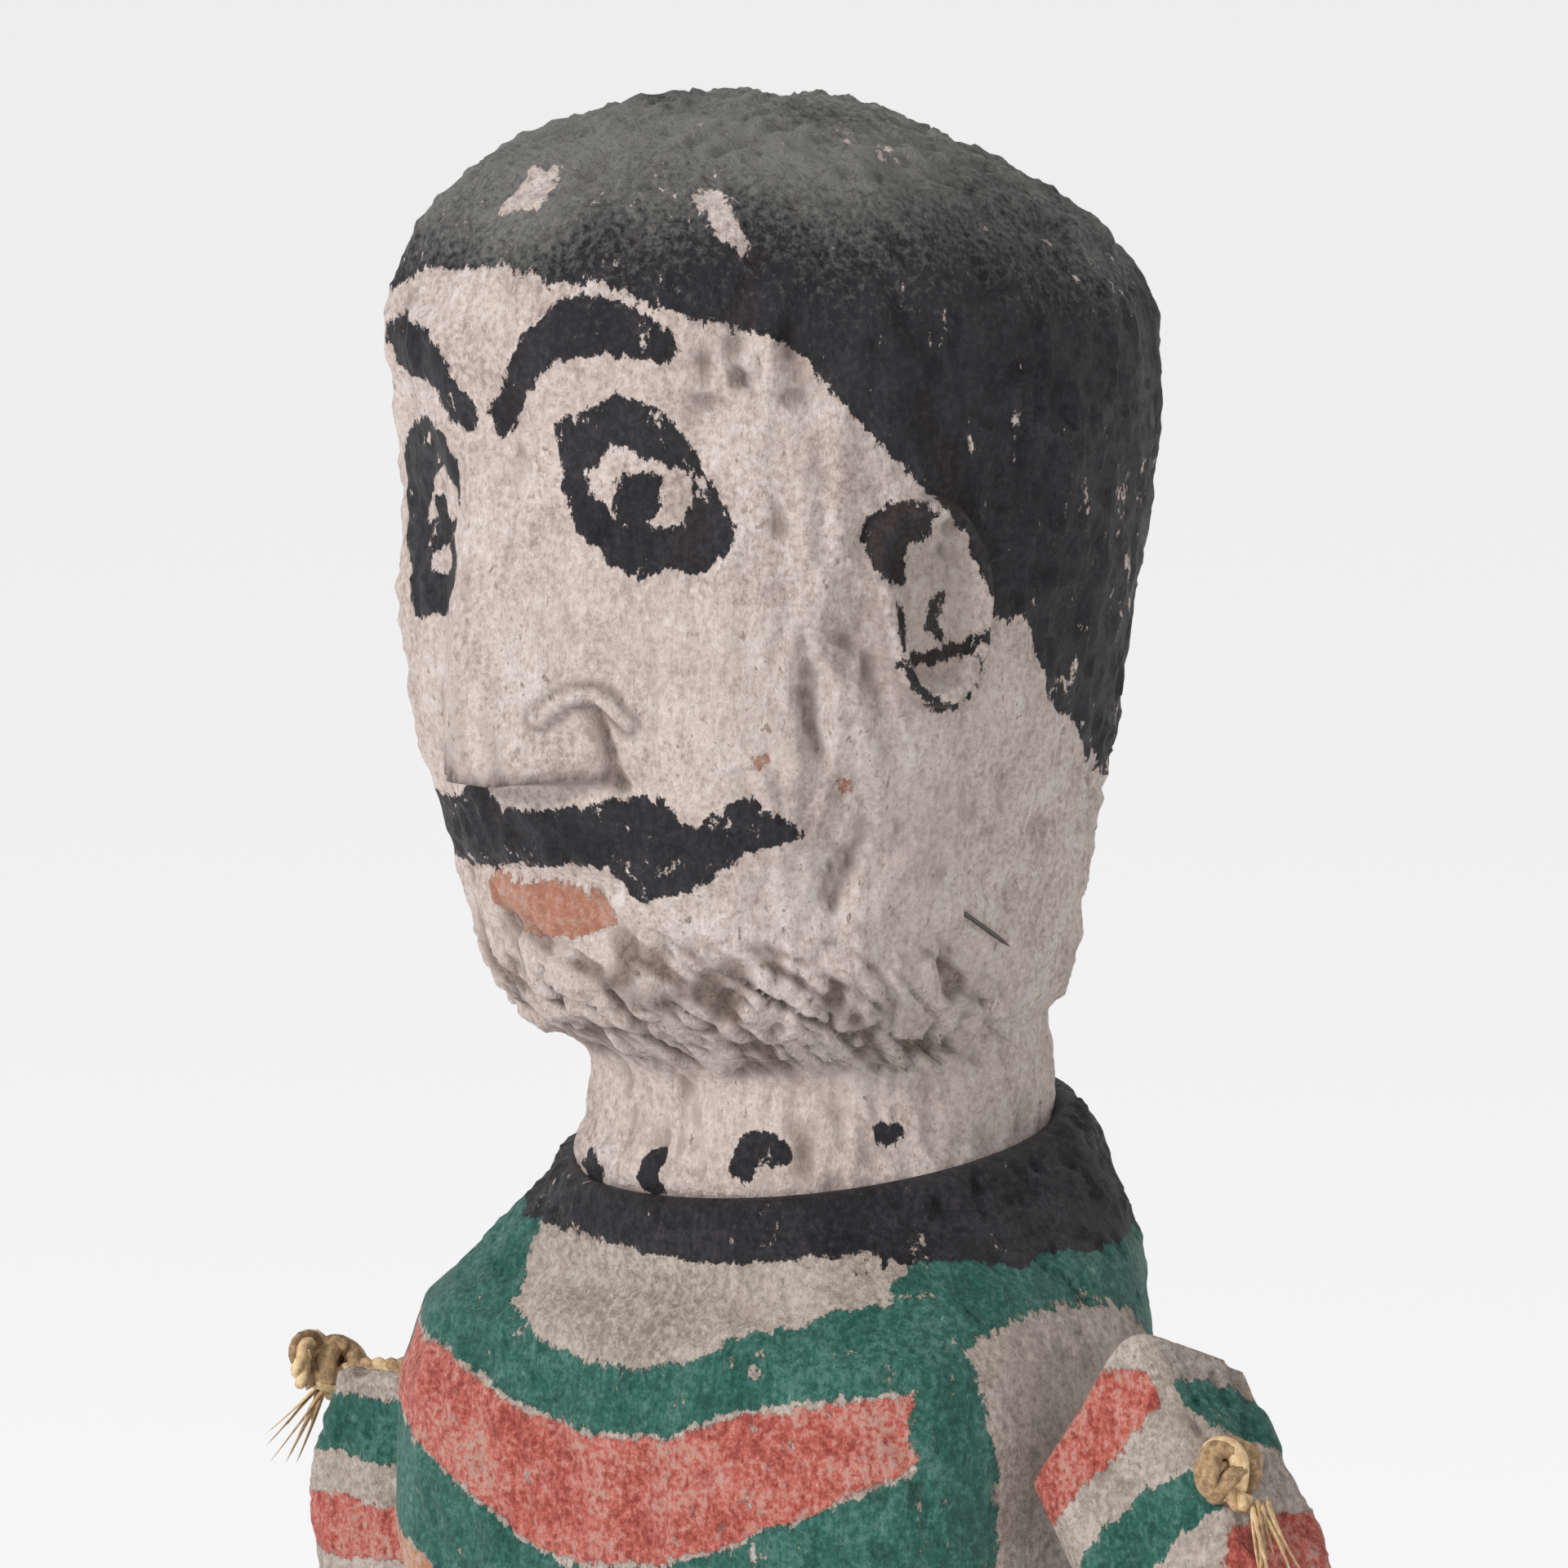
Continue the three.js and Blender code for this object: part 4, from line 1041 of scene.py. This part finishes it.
def twisted(name, line, radius, strands=4, pitch=7.0, seed=1, thin=0.52):
    fine = smoothLine(line, steps=10)
    length = np.concatenate([[0], np.cumsum(np.linalg.norm(np.diff(fine, axis=0), axis=1))])
    even = np.linspace(0, length[-1], max(int(length[-1] / 0.8), 8))
    fine = np.stack([np.interp(even, length, fine[:, k]) for k in range(3)], axis=1)
    tangent = np.gradient(fine, axis=0)
    tangent /= np.linalg.norm(tangent, axis=1)[:, None]
    one = np.cross(tangent, (0.23, 0.51, 0.83))
    one /= np.linalg.norm(one, axis=1)[:, None]
    two = np.cross(tangent, one)
    meshes = []
    for strand in range(strands):
        turn = even / pitch * 2 * math.pi + strand * 2 * math.pi / strands
        offset = radius * (1 - thin) * (1 + 0.2 * noise(fine, 4, seed + strand))
        path = fine + (one * np.cos(turn)[:, None] + two * np.sin(turn)[:, None]) * offset[:, None]
        meshes.append(strandMesh(f"{name}Strand{strand}", path, radius * thin))
    return meshes


# loops wound over one another round a middle point
def woundKnot(name, middle, radius, seed, flatten=(1, 1, 1), turns=5):
    meshes = []
    for loop in range(turns):
        t = np.linspace(0, 2 * math.pi, 46)
        ring = np.stack([np.cos(t), np.sin(t), 0.22 * np.sin(2 * t + loop)], axis=1) * radius * 0.72
        tip = Matrix.Rotation(loop * 1.15 + seed, 3, "X") @ Matrix.Rotation(loop * 0.83 + seed * 2, 3, "Y")
        ring = ring @ np.array(tip) * np.array(flatten) + np.array(middle)
        meshes.append(strandMesh(f"{name}Loop{loop}", ring, radius * 0.3, 8, 0.8))
    return meshes


# loose fibre ends that fan out and thin to nothing
def frayed(name, start, heading, length, seed, count=9, spread=0.35, width=0.5):
    meshes = []
    random = np.random.default_rng(seed)
    heading = np.array(heading, float) / np.linalg.norm(heading)
    for end in range(count):
        aim = heading + random.normal(0, spread, 3)
        aim /= np.linalg.norm(aim)
        reach = length * random.uniform(0.5, 1)
        t = np.linspace(0, 1, 10)[:, None]
        curl = random.normal(0, 0.12, 3) * reach
        sag = np.array((0, 0, 0.12)) * reach
        path = np.array(start) + random.normal(0, 0.5, 3) + aim * reach * t + (curl - sag) * t ** 2
        meshes.append(strandMesh(f"{name}Fibre{end}", path, width * (1.05 - t[:, 0]) + 0.05, 6, 0.5))
    return meshes


def placeFibre(name, meshes, material, body, slot, *nodes):
    shades = []
    random = np.random.default_rng(len(name))
    for part in meshes:
        shades.append(np.full(len(part.vertices), random.uniform(-0.18, 0.18)))
    mesh = joinMeshes(name, meshes)
    writeValues(mesh, "strand", np.concatenate(shades))
    return place(name, mesh, material, slot, body, *nodes)


fibre = {
    "knotRadius": 4.4,
    "tailLength": 11.0,
    "tieHalfWidth": 8.5,
    "tieHalfHeight": 10.0,
    "bindingTurns": 11,
}


def armSpot(side, x, y, z):
    return armPlace(side, np.array([[x, y, z]], float))[0]


def makeCords(key):
    side = armSides[key]
    sign = side["sign"]
    straw = fibreMaterial(f"{key}Raffia")
    low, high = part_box(f"{key}_shoulder_tie")
    near, far = sorted((low.x / mm, high.x / mm), key=abs)
    y, level = carving["cordAhead"], chin - carving["cordBelowChin"]
    line = [(x, y, level) for x in (near + sign * 1.2, (near + far) / 2, far - sign * 1.2)]
    placeFibre(f"{key}ShoulderTie", twisted(f"{key}Tie", line, 1.75, 3, 7, 3), straw, f"{key}_shoulder",
               "plant_fibre", f"{key}_shoulder_tie")
    ahead = -armShape["middle"]
    width, drop = side["width"], -side["holeDrop"]
    knot = armSpot(side, width + 1.6, ahead - side["peak"] * 0.55, drop + side["peak"] * 0.45)
    line = [armSpot(side, width * t, ahead, drop * t) for t in (0.06, 0.5, 1.0)]
    meshes = twisted(f"{key}ArmCord", line, 1.75, 3, 7, 5)
    meshes += woundKnot(f"{key}ArmKnot", knot, fibre["knotRadius"], 1 + sign, (0.8, 1.15, 1))
    # the cord's doubled end lies forward over the edge of the arm
    bight = [knot]
    for out, forward, up in ((2.6, 3.0, 4.0), (1.6, 6.5, 3.0), (2.2, 4.5, -2.0)):
        bight.append(armSpot(side, width + out, ahead - forward, drop + up))
    meshes += twisted(f"{key}Bight", bight, 1.5, 3, 6, 8)
    hang = armSpot(side, width + 3.4, ahead - side["peak"] * 0.5, drop - 2)
    meshes += frayed(f"{key}ArmTail", hang, (0.35 * sign, -0.15, -1), fibre["tailLength"], 11 + sign)
    placeFibre(f"{key}ArmCord", meshes, straw, f"{key}_arm", "plant_fibre", f"{key}_arm_cord")

    half = width / 2
    elbow = (width - armShape["elbowNarrowing"]) / 2
    down = armShape["elbowBelow"]
    meshes = []
    for end in (-1, 1):
        spot = armSpot(side, half + end * (elbow + 1.5), 0, -down)
        meshes += woundKnot(f"{key}Elbow{end}", spot, 3.5, 2 + end, (0.62, 1, 1), 4)
        meshes += frayed(f"{key}ElbowTail{end}", spot, (0.2 * end, -0.5, -1), 6, 21 + end, 5)
    line = [armSpot(side, half + t * elbow, 0, -down) for t in (-1, 0, 1)]
    meshes += twisted(f"{key}ElbowPin", line, 1.7, 3, 7, 9)
    placeFibre(f"{key}ElbowCord", meshes, straw, f"{key}_arm", "plant_fibre", f"{key}_elbow_cord")

    t = np.linspace(-math.pi / 2, 1.5 * math.pi, 34)
    grow = (np.cos(t) ** 4 + np.sin(t) ** 4) ** -0.25
    middle = -armShape["tieBelow"] - fibre["tieHalfHeight"]
    loop = []
    for turn, size in zip(t, grow):
        across = math.cos(turn) * size * fibre["tieHalfWidth"]
        up = math.sin(turn) * size * fibre["tieHalfHeight"]
        loop.append(armSpot(side, half + across, 0, middle + up))
    knot = armSpot(side, half, 0, middle - fibre["tieHalfHeight"])
    meshes = twisted(f"{key}HandTie", loop, 1.05, 2, 5, 13)
    meshes += woundKnot(f"{key}TieKnot", knot, 2.9, 4, (1, 1, 1), 4)
    meshes += frayed(f"{key}TieTail", knot, (0.5 * sign, -0.8, -0.3), 7, 31 + sign, 5)
    placeFibre(f"{key}HandTie", meshes, straw, f"{key}_tie", "plant_fibre", f"{key}_hand_tie")

    # binding: one fibre wound round the head of the rod
    low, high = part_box(f"{key}_rod_binding")
    centre = (low + high) / 2 / mm
    turns = fibre["bindingTurns"]
    t = np.linspace(0, 1, turns * 22)
    radius = 3.35 + 0.15 * np.sin(t * 40)
    coil = np.stack([centre.x + radius * np.cos(t * turns * 2 * math.pi),
                     centre.y + radius * np.sin(t * turns * 2 * math.pi),
                     (low.z + (high.z - low.z) * t) / mm], axis=1)
    wound = strandMesh(f"{key}Coil", coil, 0.8, 8)
    placeFibre(f"{key}RodBinding", [wound], straw, f"{key}_rod", "plant_fibre", f"{key}_rod_binding")


# Split bamboo gone honey brown, with long darker streaks and a dull shine from handling
def bambooMaterial(name, colours=("#6B4E2E", "#9C7A4B", "#BF9D68")):
    material, tree, shader = newMaterial(name)
    spot = addNode(tree, "TexCoord", {}, "Object")
    along = addNode(tree, "Mapping", {"Vector": spot, "Scale": (1, 1, 0.03)})
    streak = addNode(tree, "TexNoise", {
        "Vector": along, "Scale": 1 / (0.8 * mm), "Detail": 5, "Roughness": 0.65})
    cloud = addNode(tree, "TexNoise", {"Vector": spot, "Scale": 1 / (16 * mm), "Detail": 3})
    tone = addNode(tree, "Math", {0: streak, 1: cloud}, operation="ADD")
    tone = addNode(tree, "Math", {0: tone, 1: 0.5}, operation="MULTIPLY")
    colour = addNode(tree, "ValToRGB", {"Fac": tone}, stops=zip((0.38, 0.5, 0.62), colours))
    rough = addNode(tree, "MapRange", {"Value": cloud, "To Min": 0.4, "To Max": 0.65})
    finishShader(tree, shader, colour, streak, 0.2, 0.5, rough)
    return material


rods = {
    "handRadius": 2.6,
    "jointSpacing": 62.0,
    "jointBulge": 0.28,
    "footRadius": 5.0,
    "gripRadius": 11.0,
    "shaftRadius": 6.0,
}


def makeHandRod(key):
    low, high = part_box(f"{key}_hand_rod")
    centre = (low + high) / 2 / mm
    bottom, top = low.z / mm, high.z / mm
    levels = np.linspace(bottom, top, 150)
    fromJoint = np.abs((levels - bottom + 20) % rods["jointSpacing"] - 4)
    radius = rods["handRadius"] - 0.28 + rods["jointBulge"] * np.exp(-(fromJoint / 1.4) ** 2)
    radius -= 0.5 * smooth(8, 0, levels - bottom) + 0.8 * smooth(1.5, 0, top - levels)
    line = np.stack([np.full(150, centre.x), np.full(150, centre.y), levels], axis=1)
    line[:, :2] += 0.12 * np.stack([noise(line, 40, 3), noise(line, 40, 4)], axis=1)
    mesh = strandMesh(f"{key}HandRod", line, radius, 24)
    place(f"{key}HandRod", mesh, bambooMaterial(f"{key}Bamboo"), "bamboo", f"{key}_rod", f"{key}_hand_rod")


def makeCentralRod():
    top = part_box("central_rod")[1].z / mm
    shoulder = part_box("torso")[0].z / mm - 0.35
    foot, grip, shaft = rods["footRadius"], rods["gripRadius"], rods["shaftRadius"]
    rows = [
        {"z": 0, "halfWidth": 1.5, "front": 1.5},
        {"z": 0, "halfWidth": foot - 0.7, "front": foot - 0.7},
        {"z": 1, "halfWidth": foot, "front": foot},
        {"z": 40, "halfWidth": grip - 0.4, "front": grip - 0.4},
        {"z": 60, "halfWidth": grip, "front": grip},
        {"z": shoulder - 1.2, "halfWidth": grip, "front": grip},
        {"z": shoulder, "halfWidth": grip - 1, "front": grip - 1},
        {"z": shoulder, "halfWidth": shaft, "front": shaft},
        {"z": top - 1, "halfWidth": shaft, "front": shaft},
        {"z": top, "halfWidth": 1.5, "front": 1.5},
    ]
    mesh, points = carve("centralRod", rows, 96, 360, smoothed=False)
    writePoints(mesh, points)
    out = normals(mesh)
    amount = smooth(0.5, 5, points[:, 2]) * smooth(shoulder - 1, shoulder - 4, points[:, 2])
    relief = (0.35 * np.minimum(ridges(points, (6, 6, 60), 131), 0.8) - 0.28) * amount
    relief += 0.05 * layeredNoise(points, (1.5, 1.5, 12), 133) * amount
    writePoints(mesh, points + out * relief[:, None])
    place("centralRod", mesh, bambooMaterial("handledWood", ("#4E3722", "#7A5A3A", "#9C7C56")), "bamboo",
          "rod_and_head", "central_rod")
    low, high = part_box("head_peg")
    line = [(0, y, (low.z + high.z) / 2 / mm) for y in np.linspace(low.y / mm, high.y / mm, 24)]
    peg = strandMesh("headPeg", line, 1.95, 16)
    place("headPeg", peg, bambooMaterial("pegBamboo"), "bamboo", "rod_and_head", "head_peg")


# Sheets: block-printed cotton, faded brown with small pale flowers of dots; and a plain indigo sash
def clothMaterial(name, ground, scale, mark=None):
    material, tree, shader = newMaterial(name, Roughness=0.88, Sheen_Weight=0.25)
    uv = addNode(tree, "TexCoord", {}, "UV")
    size = addNode(tree, "Mapping", {"Vector": uv, "Scale": scale})
    thread = 1.0
    for way in ("X", "Y"):
        inputs = {"Vector": size, "Scale": 6.0, "Distortion": 0.4}
        wave = addNode(tree, "TexWave", inputs, 1, bands_direction=way)
        thread = addNode(tree, "Math", {0: wave, 1: thread}, operation="MULTIPLY")
    fade = addNode(tree, "TexNoise", {"Vector": size, "Scale": 0.35, "Detail": 5, "Roughness": 0.6})
    colour = addNode(tree, "ValToRGB", {"Fac": fade}, stops=zip((0.3, 0.5, 0.72), ground))
    if mark:
        # rings round a dot, one to a cell, and paler where the cloth is worn
        fromDot = addNode(tree, "TexVoronoi", {"Vector": size, "Scale": 0.55, "Randomness": 0.0})
        ring = addNode(tree, "Math", {0: fromDot, 1: 0.11}, operation="PINGPONG")
        share = addNode(tree, "MapRange", {
            "Value": ring, "From Min": 0.055, "From Max": 0.075, "To Max": 0.85})
        inside = addNode(tree, "MapRange", {"Value": fromDot, "From Min": 0.42, "From Max": 0.4})
        worn = addNode(tree, "MapRange", {"Value": fade, "From Min": 0.35, "From Max": 0.6, "To Min": 0.25})
        for source in (inside, worn):
            share = addNode(tree, "Math", {0: share, 1: source}, operation="MULTIPLY")
        colour = addNode(tree, "Mix", {0: share, 6: colour, 7: mark}, 2, data_type="RGBA")
    finishShader(tree, shader, colour, thread, 0.15, 0.35)
    return material


cloth = {
    "pleats": 13,
    "hemPleat": 4.2,
    "waistPleat": 0.5,
    "thickness": 0.7,
    "skirtHeight": 230.0,
    "skirtWidth": 330.0,
    "skirtColours": ("#3A2A22", "#55392B", "#6E4E3B"),
    "printCell": 8.0,
    "printColour": "#B9A27E",
    "sashLength": 270.0,
    "sashHeight": 24.0,
    "sashCell": 6.0,
    "sashColours": ("#1F2A3D", "#2C3B54", "#47587A"),
}


def waistSection(level, bottom, top):
    share = np.clip((level - bottom) / (top - bottom), 0, 1)
    return 44 + (46.95 - 44) * share, 41 + (31.55 - 41) * share, -4.5 * share


def clothTube(name, across, up, levels, radial, turns=1.0):
    bm = bmesh.new()
    bm.loops.layers.uv.new("cloth")
    bmesh.ops.create_grid(bm, x_segments=across, y_segments=up, size=1, calc_uvs=True)
    mesh = bpy.data.meshes.new(name)
    bm.to_mesh(mesh)
    bm.free()
    unit = readPoints(mesh)
    turn = -math.pi / 2 + unit[:, 0] * math.pi * turns
    level = levels[0] + (unit[:, 1] + 1) / 2 * (levels[1] - levels[0])
    halfWidth, depth, y = waistSection(level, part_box("skirt")[0].z / mm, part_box("skirt")[1].z / mm)
    size = (np.abs(np.cos(turn)) ** 2.6 + np.abs(np.sin(turn)) ** 2.6) ** (-1 / 2.6)
    more = radial(unit, turn, level)
    points = np.stack([np.cos(turn) * (size * halfWidth + more),
                       y + np.sin(turn) * (size * depth + more), level], axis=1)
    writePoints(mesh, points)
    return mesh


def thicken(piece, thickness):
    solid = piece.modifiers.new("thickness", "SOLIDIFY")
    solid.thickness = thickness * mm
    solid.offset = 0


def makeSkirt():
    bottom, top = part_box("skirt")[0].z / mm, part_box("skirt")[1].z / mm
    folds = cloth["pleats"]

    def radial(unit, turn, level):
        share = (top - level) / (top - bottom)
        drift = 0.5 * np.sin(turn * 3 + 1) + 0.5 * np.sin(level / 60 + 2 * turn)
        wave = np.sin(turn * folds + drift * 1.3)
        wave = wave + 0.25 * np.sin(2 * turn * folds + 1.0 + drift)
        amount = cloth["waistPleat"] + (cloth["hemPleat"] - cloth["waistPleat"]) * smooth(0.1, 1, share)
        lap = 1.6 * unit[:, 0]
        return amount * wave * smooth(0, 0.12, share) - 0.9 + lap * 0.5 + 0.4 * noise(
            np.stack([turn * 40, level, level * 0], axis=1), (14, 40, 10), 141) * share

    mesh = clothTube("printedSkirt", 300, 100, (bottom, top), radial, 1.03)
    cells = (cloth["skirtWidth"] / cloth["printCell"], cloth["skirtHeight"] / cloth["printCell"], 1)
    cotton = clothMaterial("printedCotton", cloth["skirtColours"], cells, cloth["printColour"])
    piece = place("printedSkirt", mesh, cotton, "skirt_cloth", "trunk", "skirt")
    thicken(piece, cloth["thickness"])
    return piece


def makeSash(skirt):
    low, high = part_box("sash")[0].z / mm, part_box("sash")[1].z / mm

    def radial(unit, turn, level):
        share = (level - low) / (high - low)
        rounding = np.sin(np.clip(share, 0, 1) * math.pi) ** 0.5
        rolls = np.abs(np.sin(share * math.pi * 3 + 0.5 * np.sin(turn * 2)))
        return 0.5 + 1.1 * rounding + 0.8 * rolls * rounding + 0.5 * unit[:, 0] * 0.5

    mesh = clothTube("woundSash", 300, 40, (low, high), radial, 1.015)
    cells = (cloth["sashLength"] / cloth["sashCell"], cloth["sashHeight"] / cloth["sashCell"], 1)
    indigo = clothMaterial("indigoSash", cloth["sashColours"], cells)
    sash = place("woundSash", mesh, indigo, "sash_cloth", "trunk", "sash")
    thicken(sash, 0.8)
    low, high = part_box("sash_knot")
    front = high.y / mm - 4.0
    level = high.z / mm - 8.0
    bow = [(x, front - 0.4, level + 0.5 * math.sin(x)) for x in np.linspace(-9, 9, 26)]
    radius = 6.6 * np.sqrt(np.clip(1 - np.linspace(-1, 1, 26) ** 4, 0.05, 1))
    meshes = [strandMesh("sashBow", bow, radius, 40, 0.62)]
    for side in (-1, 1):
        bm = bmesh.new()
        bm.loops.layers.uv.new("cloth")
        bmesh.ops.create_grid(bm, x_segments=14, y_segments=80, size=1, calc_uvs=True)
        tail = bpy.data.meshes.new(f"sashTail{side}")
        bm.to_mesh(tail)
        bm.free()
        unit = readPoints(tail)
        down = (1 - unit[:, 1]) / 2 * 68
        x = unit[:, 0] * (3.2 + 3.6 * smooth(0, 22, down)) + side * (1 + down * math.sin(math.radians(8)))
        ripple = 0.7 * np.sin(unit[:, 0] * 4 + side) * smooth(0, 20, down)
        y = front - side * 0.9 + ripple + 0.5 * np.sin(down / 9)
        writePoints(tail, np.stack([x, y, level - 1 - down], axis=1))
        meshes.append(tail)
    knot = joinMeshes("sashKnot", meshes)
    piece = place("sashKnot", knot, indigo, "sash_cloth", "trunk", "sash_knot")
    thicken(piece, 0.8)


for armKey in armSides:
    makeCords(armKey)
    makeHandRod(armKey)
low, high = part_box("shoulder_cord")
cordSpot = (carving["cordAhead"], chin - carving["cordBelowChin"])
middleLine = [(x, *cordSpot) for x in (low.x / mm + 1.2, 0, high.x / mm - 1.2)]
placeFibre("shoulderCord", twisted("shoulderCord", middleLine, 1.75, 3, 7, 4), fibreMaterial("innerRaffia"),
           "trunk", "plant_fibre", "shoulder_cord")
makeCentralRod()
print("cords, ties and rods are made")
makeSash(makeSkirt())
print("skirt and sash are made")


# a plain steel pin pushed into the skin below the ear
def makePin():
    material, _, _ = newMaterial("dulledSteel", Metallic=1.0, Roughness=0.45, Base_Color="#5A5652")
    path = []
    for share in np.linspace(0, 1, 8):
        turn = math.radians(81 + 16 * share)
        reach = 0.79 + 0.028 * share
        path.append((carving["headHalfWidth"] * reach * math.sin(turn) + 0.9,
                     carving["headMiddle"] - carving["headHalfDepth"] * reach * math.cos(turn),
                     chin + 18 - 7 * share))
    pin = strandMesh("pin", path, 0.27, 10)
    place("pin", pin, material, "bamboo", "rod_and_head")
    print("the pin is in")


makePin()
